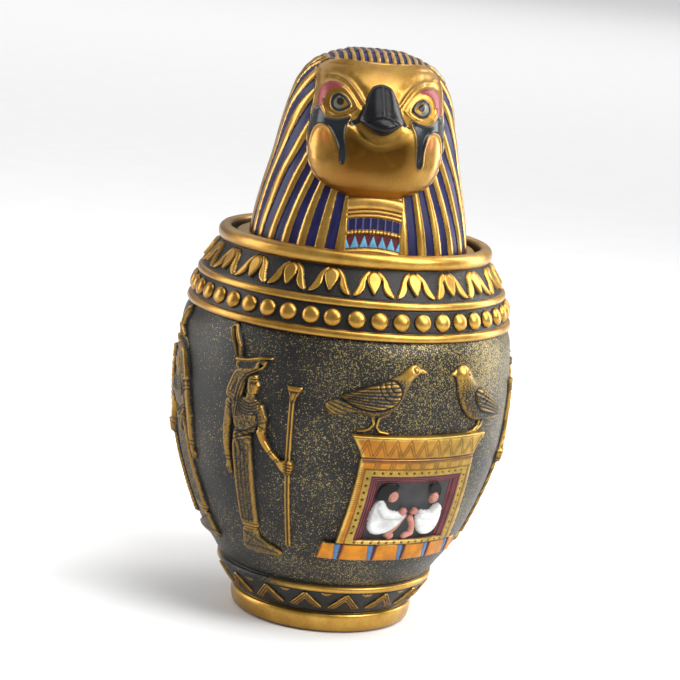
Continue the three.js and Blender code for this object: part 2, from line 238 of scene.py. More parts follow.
def headcloth_finish():
    """Gold ribs and navy hollows; 'navy' is positive inside a painted groove, in millimetres."""
    bench = Bench("gold and navy headcloth")
    edge = bench.reading("navy")
    recess = bench.reading("recess")
    gold, cloud, fine = antique_gold(bench, recess, seed=20.0)
    brush = bench.grain(1.4, 2.0, 0.6, seed=31.0)
    inside = (edge + (brush - 0.5) * 0.35).step(-0.06, 0.10)
    blue = bench.mix(bench.grain(3.5, 3.0, 0.6, stretch=3.0, seed=8.0).step(0.35, 0.7),
                     NAVY, NAVY_PALE)
    # painted shade: the navy darkens along the edges of each groove
    blue = bench.mix(edge.step(0.9, 0.0) * 0.75, blue, NAVY_EDGE_SHADE)
    base = bench.mix(inside, gold, blue)
    metal = (1 - inside) * 0.92
    rough = (1 - inside) * (0.23 + cloud * 0.14) + inside * 0.42
    skin = bench.relief(fine, 0.06, strength=0.4)
    return bench.finish(base, rough, metal, skin, coat=0.35 - inside * 0.31, coat_rough=0.18, specular=0.22)


def face_finish():
    """Satin gold skin under brushed black, rose and orange, read from millimetre edges."""
    bench = Bench("painted falcon face")
    recess = bench.reading("recess")
    gold, cloud, fine = antique_gold(bench, recess, seed=40.0)
    brush = (bench.grain(1.1, 2.0, 0.6, seed=51.0) - 0.5) * 0.5
    black = (bench.reading("black") + brush).step(-0.12, 0.14)
    rose = (bench.reading("rose") + brush).step(-0.25, 0.25)
    white = bench.reading("white").step(-0.08, 0.08)
    blush = bench.reading("blush")
    throat_shade = bench.reading("throat_shade")
    gold = bench.mix(0.34, gold, FACE_BROWN)
    # painted shade under the beak and under the chin
    base = bench.mix((throat_shade * (0.6 + 0.8 * cloud)).clamp() * 0.94, gold, THROAT_SHADE_BROWN)
    base = bench.mix((blush * (0.5 + cloud)).clamp() * 0.8, base, BLUSH_ORANGE)
    base = bench.mix(rose * 0.92, base, CHEEK_ROSE)
    base = bench.mix(white, base, EYE_WHITE)
    ink = bench.mix(cloud, INK, INK_PALE)
    base = bench.mix(black, base, ink)
    metal = (0.92 - rose * 0.6 - blush * 0.25) * (1 - black) * (1 - white * 0.8)
    rough = (0.27 + cloud * 0.12) * (1 - black) + black * 0.24
    skin = bench.relief(fine, 0.05, strength=0.35)
    varnish = (0.3 - black * 0.15 - rose * 0.25 - throat_shade * 0.3).clamp()
    return bench.finish(base, rough, metal.clamp(), skin, coat=varnish, coat_rough=0.15, specular=0.25)


def beak_finish():
    """Black lacquer with fine upright scratches."""
    bench = Bench("lacquered black beak")
    cloud = bench.grain(4.0, 3.0, 0.6, seed=61.0)
    scratch = bench.grain(0.5, 3.0, 0.6, stretch=6.0, seed=63.0)
    base = bench.mix(cloud, LACQUER, LACQUER_PALE)
    # painted shade in the mouth crease
    base = bench.mix(bench.reading("recess") * 0.9, base, BLACK)
    rough = 0.20 + (scratch - 0.5) * 0.10 + cloud * 0.06
    skin = bench.relief(scratch, 0.03, strength=0.4)
    return bench.finish(base, rough, 0.0, skin, coat=0.06, coat_rough=0.08, specular=0.18)


def floor_finish():
    bench = Bench("pale studio floor")
    dust = bench.grain(40.0, 2.0, 0.5)
    base = bench.mix(dust, FLOOR_DIM, FLOOR_WHITE)
    return bench.finish(base, 0.6, 0.0, bench.relief(dust, 0.02, strength=0.1), specular=0.2)


JAR_FINISH = gilded_resin()
PAINT_FINISH = painted_cast()
CLOTH_FINISH = headcloth_finish()
FACE_FINISH = face_finish()
BEAK_FINISH = beak_finish()


# ---------------------------------------------------------------- mesh making

def make_piece(name, points, quads, triangles, readings, material):
    """A smooth mesh piece from points in millimetres, with one value or colour per point for each reading."""
    mesh = bpy.data.meshes.new(name)
    quads = np.asarray(quads, np.int32).reshape(-1, 4)
    triangles = np.asarray(triangles, np.int32).reshape(-1, 3)
    corners = np.concatenate([quads.ravel(), triangles.ravel()])
    sizes = np.concatenate([np.full(len(quads), 4), np.full(len(triangles), 3)])
    starts = np.concatenate([[0], np.cumsum(sizes)[:-1]])
    mesh.vertices.add(len(points))
    mesh.vertices.foreach_set("co", (np.asarray(points, float) * MM).ravel())
    mesh.loops.add(len(corners))
    mesh.loops.foreach_set("vertex_index", corners.astype(np.int32))
    mesh.polygons.add(len(sizes))
    mesh.polygons.foreach_set("loop_start", starts.astype(np.int32))
    mesh.polygons.foreach_set("loop_total", sizes.astype(np.int32))
    mesh.polygons.foreach_set("use_smooth", np.ones(len(sizes), bool))
    mesh.update(calc_edges=True)
    for key, values in readings.items():
        values = np.asarray(values, float)
        if values.ndim == 2:
            layer = mesh.attributes.new(key, "FLOAT_COLOR", "POINT")
            full = np.concatenate([values[:, :3], np.ones((len(values), 1))], 1)
            layer.data.foreach_set("color", full.ravel())
        else:
            layer = mesh.attributes.new(key, "FLOAT", "POINT")
            layer.data.foreach_set("value", values.ravel())
    mesh.validate()
    piece = bpy.data.objects.new(name, mesh)
    bpy.context.scene.collection.objects.link(piece)
    mesh.materials.append(material)
    return piece


def grid_quads(rows, columns, wrap):
    """Faces of a grid whose rows run upward and columns run anticlockwise seen from above."""
    r = np.arange(rows - 1)[:, None]
    c = np.arange(columns if wrap else columns - 1)[None, :]
    here = r * columns + c
    beside = r * columns + (c + 1) % columns
    return np.stack([here, beside, beside + columns, here + columns], -1).reshape(-1, 4)


def closing_fans(around, last, count):
    """Triangles closing the first row to point number count, and the last row to the point after it."""
    c = np.arange(around)
    n = (c + 1) % around
    return np.concatenate([np.stack([n, c, np.full(around, count)], -1),
                           np.stack([last + c, last + n, np.full(around, count + 1)], -1)])


def backed(quads, count):
    """Faces of a sheet of points and its copy behind it, with a wall along every free edge."""
    edges = np.concatenate([quads[:, [k, (k + 1) % 4]] for k in range(4)])
    forward = edges[:, 0].astype(np.int64) * count + edges[:, 1]
    backward = edges[:, 1].astype(np.int64) * count + edges[:, 0]
    rim = edges[~np.isin(forward, backward)]
    walls = np.stack([rim[:, 1], rim[:, 0], rim[:, 0] + count, rim[:, 1] + count], -1)
    return np.concatenate([quads, quads[:, ::-1] + count, walls])


def turned(name, profile, around, centres, centre_gilt, wobble=None, worn=None):
    """A piece turned on the axis from (radius, height, gilt, recess) rows, closed at both centres."""
    angle = TAU * np.arange(around) / around
    r, z, gilt, recess = (profile[:, k][:, None] for k in range(4))
    radius = r if wobble is None else r + wobble(angle, z)
    if worn is not None:
        gilt = gilt * (1 - worn(angle, z))
    rows = np.stack([radius * np.sin(angle), -radius * np.cos(angle), z + 0 * angle], -1)
    count = len(profile) * around
    points = np.concatenate([rows.reshape(-1, 3), [[0, 0, level] for level in centres]])
    spread = np.ones((1, around))
    readings = {"gilt": np.append((gilt * spread).ravel(), centre_gilt),
                "recess": np.append((recess * spread).ravel(), [0, 0])}
    return make_piece(name, points, grid_quads(len(profile), around, True),
                      closing_fans(around, count - around, count), readings, JAR_FINISH)


def smooth_line(knots, z):
    """A smooth curve through (z, value) knots."""
    knots = np.asarray(knots, float)
    zs, vs = knots[:, 0], knots[:, 1]
    slopes = np.gradient(vs, zs)
    i = np.clip(np.searchsorted(zs, z) - 1, 0, len(zs) - 2)
    span = zs[i + 1] - zs[i]
    t = np.clip((z - zs[i]) / span, 0, 1)
    a, b = vs[i], vs[i + 1]
    ma, mb = slopes[i] * span, slopes[i + 1] * span
    return ((2 * t**3 - 3 * t**2 + 1) * a + (t**3 - 2 * t**2 + t) * ma
            + (3 * t**2 - 2 * t**3) * b + (t**3 - t**2) * mb)


def smoothstep(low, high, x):
    t = np.clip((x - low) / (high - low), 0, 1)
    return t * t * (3 - 2 * t)


def soft(d, width):
    """1 on a line, fading to nothing a little over the width away."""
    return np.exp(-(d / width) ** 2)


def blur(field, cells):
    """Box blur, twice, of a grid."""
    out = field.astype(float)
    for _ in range(2):
        for axis in (0, 1):
            pad = [(0, 0), (0, 0)]
            pad[axis] = (cells + 1, cells)
            total = np.cumsum(np.pad(out, pad, mode="edge"), axis=axis)
            width = 2 * cells + 1
            upper = np.take(total, np.arange(width, total.shape[axis]), axis=axis)
            lower = np.take(total, np.arange(0, total.shape[axis] - width), axis=axis)
            out = (upper - lower) / width
    return out


# ---------------------------------------------------------------- the jar's outline

BELLY = [(22.9, 45.0), (24, 45.9), (28, 48.5), (32, 51.4), (36, 54.0), (40, 56.0), (44, 57.7), (48, 59.3),
         (52, 60.9), (56, 62.3), (60, 63.7), (64, 65.0), (68, 66.1), (72, 67.1), (80, 68.7), (88, 69.6),
         (96, 70.1), (104, 70.2), (112, 69.9), (120, 69.3), (125, 68.5), (127.6, 67.4), (129.2, 66.5)]
CHEVRON_BAND = [(9.2, 38.4), (19.4, 45.3)]
BEAD_BAND = [(133.0, 66.3), (141.8, 63.7)]
LOTUS_BAND = [(145.1, 63.0), (156.2, 55.6)]
BELLY_SAMPLES = 240


def wall(z):
    """Outer radius of the bare wall at height z, rings left out."""
    z = np.asarray(z, float)
    belly_z = np.linspace(BELLY[0][0], BELLY[-1][0], BELLY_SAMPLES)
    belly = np.stack([belly_z, smooth_line(BELLY, belly_z)], -1)
    table = np.concatenate([CHEVRON_BAND, belly, BEAD_BAND, LOTUS_BAND])
    return np.interp(z, table[:, 0], table[:, 1])


def on_wall(azimuth, arc, z, lift):
    """Points at an arc length from an azimuth in degrees, lifted off the wall."""
    r = wall(z)
    angle = math.radians(azimuth) + arc / r
    return np.stack([(r + lift) * np.sin(angle), -(r + lift) * np.cos(angle), z + 0 * arc], -1)


def half_round(z0, r0, z1, r1, proud, count=9):
    """Profile of a moulded ring between two points on the wall."""
    t = np.linspace(0, 1, count)
    bulge = proud * np.sin(np.pi * t) ** 0.6
    ease = 0.5 - 0.5 * np.cos(np.pi * t)
    return [(r0 + (r1 - r0) * e + b, z0 + (z1 - z0) * e) for e, b in zip(ease, bulge)]


JAR_COLUMNS = 256


def jar_profile():
    """(radius, height, gilt, recess) from the middle of the underside, up outside and down inside."""
    line = []

    def add(points, gilt, recess=0.0):
        line.extend((r, z, gilt, recess) for r, z in points)

    # the recess column puts painted shade in the grooves beside each ring and inside the rim; it also darkens
    # the bands between the rings
    add([(8, 0), (18, 0), (28, 0), (34, 0), (36.0, 0.0)], 0.0)
    add(half_round(0.15, 36.5, 8.0, 37.3, 1.75, 15), 1.0)
    add([(37.1, 8.5), (37.6, 8.9)], 0.2, 0.9)
    add([(38.4 + 6.9 * t, 9.2 + 10.2 * t) for t in np.linspace(0, 1, 14)], 0.0, 0.45)
    add(half_round(19.5, 45.2, 22.0, 45.0, 0.95), 1.0)
    add([(44.7, 22.3), (44.7, 22.7)], 0.1, 0.9)
    zs = np.concatenate([np.linspace(22.9, 30, 9), np.linspace(31, 128, 98), [128.6, 129.2]])
    add(list(zip(smooth_line(BELLY, zs), zs)), 0.0)
    add([(66.3, 129.4)], 0.1, 0.9)
    add(half_round(129.6, 66.8, 132.8, 66.3, 1.5, 11), 1.0)
    add([(66.2, 133.0)], 0.1, 0.8)
    add([(66.2 - 2.4 * t, 133.1 + 8.5 * t) for t in np.linspace(0, 1, 12)], 0.0, 0.45)
    add([(63.6, 141.8)], 0.1, 0.8)
    add(half_round(141.95, 63.8, 144.8, 63.2, 1.2, 11), 1.0)
    add([(62.9, 145.0)], 0.1, 0.8)
    add([(62.9 - 7.1 * t, 145.2 + 10.7 * t) for t in np.linspace(0, 1, 16)], 0.0, 0.45)
    add([(55.7, 156.1)], 0.1, 0.9)
    rim_outer = [(55.9, 156.3), (56.5, 156.6), (57.05, 157.2), (57.35, 158.2), (57.4, 159.3), (57.2, 160.3),
                 (56.7, 161.2), (55.9, 161.9), (54.9, 162.25), (53.9, RIM_TOP), (52.9, 162.0), (52.35, 161.4)]
    add(rim_outer, 1.0)
    add([(52.2, 160.4), (52.2, 158.6), (52.2, 156.6)], 0.6, 0.55)
    add([(51.9, 156.3), (49, 156.3), (46.4, 156.3), (46, 155.9)], 0.2)
    add([(46, 153.6), (46, 151.5), (50, 148.5), (54.4, 145.2), (58.6, 142), (61.4, 134), (64.0, 122),
         (65.2, 102), (63.4, 80), (58.6, 62), (52.0, 46.2), (45.4, 31), (39.5, 20.6), (34.4, 12), (32.6, 9.8),
         (31, 9), (20, 9), (10, 9)], 0.0)
    return np.array(line)


def jar_body():
    """The turned, hollow cast body with its plain rings, a little uneven as a hand-finished cast is."""
    profile = jar_profile()
    outer_rows = (np.arange(len(profile)) < int(np.argmax(profile[:, 1])))[:, None]

    def wobble(angle, z):
        ripple = (0.10 * np.sin(3 * angle + 0.07 * z) + 0.08 * np.sin(7 * angle - 0.05 * z + 1.3)
                  + 0.05 * np.sin(13 * angle + 0.11 * z))
        return ripple * (outer_rows & (z > 24) & (z < 129))

    def worn(angle, z):
        """Two places on the low ring where the gold has rubbed off."""
        turn = (angle + np.pi) % TAU - np.pi
        side_shade_and_sheen = 0.9 * soft(turn + 1.0, 0.52) + 0.5 * soft(turn - 2.2, 0.3)
        return side_shade_and_sheen * ((z > 19) & (z < 22.5))

    return turned("jar_body", profile, JAR_COLUMNS, (0, 9.0), [0, 0], wobble, worn)


# ---------------------------------------------------------------- relief worked like clay on the wall

class Clay:
    """A height field in millimetres over arc length S and height Z, built up part by part."""

    def __init__(self, S, Z, tones):
        self.S, self.Z = S, Z
        self.h = np.full(S.shape, -2.0)
        self.tones = {k: np.zeros(S.shape + ((3,) if k == "paint" else ())) for k in tones}
        self.recess = np.zeros(S.shape)

    def rod(self, a, b, ra, rb=None):
        """Distance to a tapered rod from a to b, negative inside."""
        rb = ra if rb is None else rb
        d = np.array([b[0] - a[0], b[1] - a[1]], float)
        t = np.clip(((self.S - a[0]) * d[0] + (self.Z - a[1]) * d[1]) / max(d @ d, 1e-9), 0, 1)
        return np.hypot(self.S - a[0] - t * d[0], self.Z - a[1] - t * d[1]) - (ra + (rb - ra) * t)

    def chain(self, points, radii):
        """Distance to rods end to end through the points, negative inside."""
        radii = radii if isinstance(radii, (list, tuple)) else [radii] * len(points)
        parts = [self.rod(points[i], points[i + 1], radii[i], radii[i + 1]) for i in range(len(points) - 1)]
        return np.minimum.reduce(parts)

    def oval(self, centre, half_wide, half_tall, tilt=0.0):
        """Distance to an oval, about right near its edge, negative inside."""
        c, s = math.cos(math.radians(tilt)), math.sin(math.radians(tilt))
        u = (self.S - centre[0]) * c + (self.Z - centre[1]) * s
        v = -(self.S - centre[0]) * s + (self.Z - centre[1]) * c
        q = np.hypot(u / half_wide, v / half_tall)
        return (q - 1) * min(half_wide, half_tall)

    def shape(self, points, passes=0):
        """Distance to a closed outline, its corners cut this many times, negative inside."""
        return outline_distance(self.S, self.Z, rounded(points, passes))

    def build(self, d, height, edge, **tones):
        """Adds a part: rises from its outline to full height over the edge width."""
        depth = np.clip(-d / edge, 0, 1)
        rise = np.where(d < 0, height * np.sqrt(1 - (1 - depth) ** 2), -d * 1.4)
        top = (rise > self.h) & (d < 0)
        self.h = np.maximum(self.h, rise)
        self.tint(top, **tones)

    def tint(self, mask, **tones):
        """Sets tones where the mask is true."""
        for key, value in tones.items():
            self.tones[key][mask] = value

    def groove(self, d, where, depth=0.4, width=0.24, hollow_shade=0.8):
        """Presses a line, only where the mask is true."""
        self.cut(np.where(where, d, 9.0), depth, width, hollow_shade)

    def cut(self, d, depth, width, hollow_shade=0.8):
        """Presses a line into the clay and marks painted shade along it."""
        line = soft(np.maximum(d, 0), width)
        inside = self.h > 0
        self.h = np.where(inside, self.h - depth * line, self.h)
        self.recess = np.maximum(self.recess, hollow_shade * line * inside)


def outline_distance(x, y, points):
    """Signed distance from places (x, y) to a closed outline, negative inside."""
    points = np.asarray(points, float)
    best = np.full(np.shape(x), 1e9)
    inside = np.zeros(np.shape(x), bool)
    for (ax, ay), (bx, by) in zip(points, np.roll(points, -1, 0)):
        dx, dy = bx - ax, by - ay
        t = np.clip(((x - ax) * dx + (y - ay) * dy) / max(dx * dx + dy * dy, 1e-12), 0, 1)
        best = np.minimum(best, np.hypot(x - ax - t * dx, y - ay - t * dy))
        cross = (ay > y) != (by > y)
        with np.errstate(divide="ignore", invalid="ignore"):
            at = ax + (y - ay) * dx / (dy if dy else 1e-12)
        inside ^= cross & (x < at)
    return np.where(inside, -best, best)


def rounded(points, passes=3):
    """Chaikin's corner cutting of a closed outline."""
    points = np.asarray(points, float)
    for _ in range(passes):
        after = np.roll(points, -1, 0)
        points = np.stack([0.75 * points + 0.25 * after, 0.25 * points + 0.75 * after], 1).reshape(-1, 2)
    return points


KEPT_DEPTH = -0.35  # relief lower than this lies under the wall and is dropped


def lay_relief(name, azimuth, arcs, heights, step, sculpt, tones, material, side=1, sink=1.2):
    """Samples a sculpted height field, drops what lies under the wall and closes the rest behind."""
    s = np.arange(arcs[0], arcs[1] + step / 2, step)
    z = np.arange(heights[0], heights[1] + step / 2, step)
    S, Z = np.meshgrid(s, z)
    clay = Clay(S * side, Z, tones)
    sculpt(clay)
    h = np.maximum(clay.h, KEPT_DEPTH - 0.25)
    quads = grid_quads(len(z), len(s), False)
    quads = quads[h.ravel()[quads].max(1) > KEPT_DEPTH]
    used, compact = np.unique(quads, return_inverse=True)
    quads = compact.reshape(-1, 4)
    front = on_wall(azimuth, S, Z, h).reshape(-1, 3)[used]
    back = on_wall(azimuth, S, Z, np.full(S.shape, -sink)).reshape(-1, 3)[used]
    readings = {}
    for key, field in {**clay.tones, "recess": clay.recess}.items():
        flat = field.reshape(-1, 3) if field.ndim == 3 else field.ravel()
        readings[key] = np.concatenate([flat[used], flat[used]])
    return make_piece(name, np.concatenate([front, back]), backed(quads, len(used)), [], readings, material)


# ---------------------------------------------------------------- ring ornaments by Geometry Nodes

def ring_tree():
    """A node tree that repeats one ornament around the jar's axis, each copy set a hair off place."""
    tree = bpy.data.node_groups.new("ring_of_ornaments", "GeometryNodeTree")
    face = tree.interface
    face.new_socket("Geometry", in_out="INPUT", socket_type="NodeSocketGeometry")
    inputs = {"Ornament": "Object", "Count": "Int", "First Angle": "Float",
              "Hand Slip": "Float", "Seed": "Int", "Finish": "Material"}
    for name, kind in inputs.items():
        face.new_socket(name, in_out="INPUT", socket_type="NodeSocket" + kind)
    face.new_socket("Geometry", in_out="OUTPUT", socket_type="NodeSocketGeometry")

    def node(kind, settings=None, links=None):
        made = tree.nodes.new(kind)
        for key, value in (settings or {}).items():
            setattr(made, key, value)
        for key, value in (links or {}).items():
            if hasattr(value, "is_output"):
                tree.links.new(value, made.inputs[key])
            else:
                made.inputs[key].default_value = value
        return made

    given = node("NodeGroupInput").outputs
    points = node("GeometryNodePoints", links={"Count": given["Count"]})
    index = node("GeometryNodeInputIndex").outputs[0]
    share = node("ShaderNodeMath", {"operation": "DIVIDE"}, {0: TAU, 1: given["Count"]}).outputs[0]
    turn = node("ShaderNodeMath", {"operation": "MULTIPLY_ADD"},
                {0: index, 1: share, 2: given["First Angle"]}).outputs[0]
    slip = node("FunctionNodeRandomValue", {"data_type": "FLOAT"},
                {2: -1.0, 3: 1.0, "Seed": given["Seed"]}).outputs[1]
    turn = node("ShaderNodeMath", {"operation": "MULTIPLY_ADD"},
                {0: slip, 1: given["Hand Slip"], 2: turn}).outputs[0]
    facing = node("ShaderNodeCombineXYZ", links={"Z": turn}).outputs[0]
    shape = node("GeometryNodeObjectInfo", links={"Object": given["Ornament"]})
    copies = node("GeometryNodeInstanceOnPoints", links={
        "Points": points.outputs[0], "Instance": shape.outputs["Geometry"], "Rotation": facing})
    real = node("GeometryNodeRealizeInstances", links={"Geometry": copies.outputs[0]})
    finish = node("GeometryNodeSetMaterial", links={"Geometry": real.outputs[0], "Material": given["Finish"]})
    node("NodeGroupOutput", links={"Geometry": finish.outputs[0]})
    return tree


RING_TREE = ring_tree()


def ring_of(name, ornament, count, first_degrees, slip_degrees, seed):
    """The ring of copies as one plain mesh piece; the single ornament is then taken away."""
    holder = bpy.data.objects.new(name, bpy.data.meshes.new(name + "_holder"))
    bpy.context.scene.collection.objects.link(holder)
    modifier = holder.modifiers.new("ring", "NODES")
    modifier.node_group = RING_TREE
    given = {"Ornament": ornament, "Count": count, "First Angle": math.radians(first_degrees),
             "Hand Slip": math.radians(slip_degrees), "Seed": seed, "Finish": JAR_FINISH}
    for item in RING_TREE.interface.items_tree:
        if item.in_out == "INPUT" and item.name in given:
            modifier[item.identifier] = given[item.name]
    bpy.context.view_layer.update()
    seen = holder.evaluated_get(bpy.context.evaluated_depsgraph_get())
    made = bpy.data.meshes.new_from_object(seen)
    holder.modifiers.clear()
    holder.data = made
    made.name = name
    bpy.data.objects.remove(ornament)
    return holder


BEAD_MIDDLE = (65.05, 137.25)  # radius and height of the beads' seats
BEAD_OUTLINE = [(3.75, -0.7), (3.7, 0.0), (3.58, 0.6), (3.2, 1.2), (2.6, 1.68), (1.85, 2.0), (1.0, 2.2)]
BEAD_TOP = 2.25


def bead(around=22):
    """One domed bead on the sloping band, its centre facing the front."""
    (low_z, low_r), (high_z, high_r) = BEAD_BAND
    lean = math.atan2(low_r - high_r, high_z - low_z)
    middle_r, middle_z = BEAD_MIDDLE
    angle = TAU * np.arange(around) / around
    points, gilt, recess = [], [], []
    for r, lift in BEAD_OUTLINE:
        across, up = r * np.cos(angle), r * np.sin(angle)
        out = lift * math.cos(lean) - up * math.sin(lean)
        height = lift * math.sin(lean) + up * math.cos(lean)
        points.append(np.stack([across, -(middle_r + out), middle_z + height], -1))
        edge = lift < 0.1
        gilt.append(np.full(around, 0.15 if edge else 1.0))
        # painted shade round the bead's foot, where it meets the band
        recess.append(np.full(around, 0.9 if edge else 0.0))
    points.append([[0, 0.75 - middle_r, middle_z],
                   [0, -(middle_r + BEAD_TOP * math.cos(lean)), middle_z + BEAD_TOP * math.sin(lean)]])
    gilt.append([0, 1])
    recess.append([1, 0])
    rows = len(BEAD_OUTLINE)
    fans = closing_fans(around, (rows - 1) * around, rows * around)
    return make_piece("bead", np.concatenate(points), grid_quads(rows, around, True), fans,
                      {"gilt": np.concatenate(gilt), "recess": np.concatenate(recess)}, JAR_FINISH)


def gild(clay, level=1.0, cells=3, wear=0.5):
    """Gold catches on what stands proud and misses the hollows, which also get painted shade."""
    h = np.maximum(clay.h, -0.4)
    proud = h - blur(h, cells)
    clay.tones["gilt"] = np.clip(level + wear * proud, 0, 1.3) * smoothstep(-0.1, 0.35, h)
    hollow = np.clip(-proud * 1.2, 0, 1)
    clay.recess = np.clip(np.maximum(clay.recess, hollow * 0.9), 0, 1)


def lotus(clay):
    """An open flower: a pointed middle bud between two curling petals."""
    centre = [(0, 146.4), (1.7, 149.0), (2.9, 151.4), (2.9, 153.4), (1.9, 155.0), (0, 155.9)]
    centre = centre + [(-s, z) for s, z in centre[-2:0:-1]]
    side = [(0.6, 156.1), (3.4, 155.2), (5.3, 152.8), (6.3, 150.2), (8.9, 146.0), (6.6, 146.3), (4.6, 147.6),
            (3.3, 149.6), (3.1, 152.4), (2.2, 154.3)]
    middle = clay.shape(centre, 1)
    clay.build(middle, 1.9, 1.0)
    clay.h -= 0.12 * smoothstep(0.45, 1.3, -middle) * (middle < 0)
    mirrored = Clay(np.abs(clay.S), clay.Z, [])
    petal = mirrored.shape(side, 1)
    clay.build(petal, 1.5, 0.8)
    clay.h -= 0.3 * smoothstep(0.35, 0.95, -petal) * (petal < 0) * (middle > 0)
    clay.groove(np.abs(middle), clay.Z < 152.6, 0.8, 0.26, 0.95)
    gild(clay, 0.85, 2, 0.7)


def chevron(clay):
    """A separate peak of three fine ridges, with a worn mark hung between neighbours."""
    s = np.abs(clay.S)
    leg = Clay(s, clay.Z, []).rod((0.0, 17.2), (6.2, 10.2), 1.35)
    clay.build(np.maximum(np.maximum(leg, 11.0 - clay.Z), s - 6.5), 1.25, 0.45)
    for line in (0.85, 1.85):
        clay.cut(np.abs(leg + line), 0.75, 0.22, 0.95)
    mark = np.maximum(np.abs(s - 8.2) - 2.0 * smoothstep(16.8, 19.2, clay.Z), np.abs(clay.Z - 18.2) - 0.8)
    clay.build(mark, 0.22, 0.5)
    gild(clay, 0.80, 2, 0.9)


def on_band(name, span, heights, sculpt):
    """One ornament at the front of a sloping band, for a ring to repeat."""
    return lay_relief(name, 0.0, span, heights, 0.40, sculpt, ["gilt"], JAR_FINISH, sink=0.5)


# ---------------------------------------------------------------- birds, goddesses and shrine

def swell(clay, d, amount, edge):
    """Rounds what is already there, rising inward from an outline."""
    clay.h = clay.h + amount * smoothstep(0, edge, -d) * (clay.h > -0.3)


LEFT_PIGEON = dict(
    body=[(-6.6, 118.9), (-8.2, 120.7), (-10.6, 121.9), (-13.4, 120.4), (-16.6, 117.4), (-21.0, 115.4),
          (-28.0, 112.2), (-34.0, 109.2), (-38.5, 106.4), (-42.0, 106.2), (-45.8, 104.0), (-43.6, 100.1),
          (-41.6, 99.3), (-35.0, 101.2), (-31.0, 101.3), (-26.4, 99.4), (-21.6, 100.6), (-18.0, 102.4),
          (-15.6, 105.3), (-13.1, 110.7), (-10.9, 115.5), (-8.2, 117.4)],
    wing=[(-19.2, 115.7), (-16.4, 113.2), (-15.4, 110.1), (-16.4, 106.2), (-19.5, 104.2), (-24.7, 102.8),
          (-28.9, 102.8), (-33.6, 104.2), (-41.0, 107.5), (-34.0, 110.3), (-27.3, 113.0)],
    beak=[(-7.4, 120.3), (-4.2, 118.1), (-7.6, 117.5)], eye=(-10.3, 119.7), shoulder=(-18.0, 113.4),
    tip=(-54.0, 108.4),
    legs=([(-20.4, 101.8), (-23.7, 99.6), (-24.2, 96.2), (-22.8, 94.2), (-19.0, 93.5)],
          [(-26.2, 101.0), (-25.4, 97.4), (-27.2, 95.2), (-29.0, 94.4), (-31.4, 94.1)]))
RIGHT_PIGEON = dict(
    body=[(-8.8, 117.6), (-10.2, 119.9), (-12.8, 121.4), (-16.4, 119.9), (-18.4, 116.2), (-23.5, 112.4),
          (-32.2, 106.6), (-41.8, 100.4), (-41.2, 97.2), (-36.4, 96.0), (-31.6, 96.4), (-26.9, 97.6),
          (-22.1, 97.0), (-17.6, 99.2), (-13.8, 103.0), (-11.2, 107.6), (-10.0, 113.6)],
    wing=[(-18.6, 111.2), (-24.0, 111.6), (-32.2, 106.9), (-42.2, 100.6), (-36.7, 98.6), (-29.0, 99.9),
          (-22.6, 101.6), (-19.0, 106.0)],
    beak=[(-9.6, 119.6), (-6.2, 117.1), (-9.7, 116.0)], eye=(-15.0, 118.0), shoulder=(-21.8, 111.4),
    tip=(-54.5, 93.8),
    legs=([(-25.4, 98.6), (-25.0, 95.2), (-22.6, 93.4), (-20.6, 92.8), (-18.0, 92.5)],
          [(-27.6, 98.4), (-27.2, 95.4), (-25.2, 93.6), (-23.4, 93.0), (-21.6, 92.7)]))


FLIGHT_PITCH = 0.046  # radians between the wing's feathers, and below between the tail's
TAIL_PITCH = 0.105


def off_line(value, pitch):
    """How far a value is from the nearest of evenly pitched lines."""
    return np.abs((value / pitch) % 1 - 0.5) * pitch


def pigeon(shape):
    """A sculptor for a pigeon perched on the shrine's cornice, facing the middle."""
    def sculpt(clay):
        S, Z = clay.S, clay.Z
        outline = clay.shape(shape["body"], 2)
        for line in shape["legs"]:
            clay.build(clay.chain(line, [1.1, 0.72, 0.6, 0.66, 0.42]), 1.3, 0.6)
        clay.build(outline, 3.0, 4.6)
        clay.build(clay.shape(shape["beak"]), 1.3, 0.8)
        wing = clay.shape(shape["wing"], 2)
        clay.build(wing, 1.6, 1.0)
        swell(clay, wing, 0.8, 0.9)
        clay.cut(np.abs(wing), 0.7, 0.30)
        # flight feathers run together to a point behind the wing's tip
        far = np.hypot(S - shape["tip"][0], Z - shape["tip"][1])
        angle = np.arctan2(Z - shape["tip"][1], S - shape["tip"][0])
        vane = off_line(angle, FLIGHT_PITCH) * far
        clay.groove(vane, wing < -0.35, 0.50, 0.26, 0.9)
        near = np.hypot(S - shape["shoulder"][0], Z - shape["shoulder"][1])
        for reach in (2.6, 4.7, 6.8):
            clay.groove(np.abs(near - reach), wing < -0.3, 0.42, 0.24, 0.8)
        vane = off_line(angle, TAIL_PITCH) * far
        clay.groove(vane, (wing > 0.3) & (outline < -0.4) & (far < 22), 0.4, 0.22, 0.8)
        ruffle = off_line(S + Z * 0.45 + 0.6 * np.sin(Z * 2.1), 1.5)
        clay.groove(ruffle, (wing > 0.5) & (outline < -0.9) & (far > 22) & (Z < 115.5), 0.15, 0.28, 0.55)
        eye = np.hypot(S - shape["eye"][0], Z - shape["eye"][1])
        clay.cut(np.abs(eye - 1.0), 0.42, 0.22)
        clay.h += 0.35 * soft(eye, 0.55)
        gild(clay, 0.32, 4, 0.62)
        clay.tones["gilt"] += 0.22 * smoothstep(9.0, 4.0, eye) * (clay.h > 0)
    return sculpt


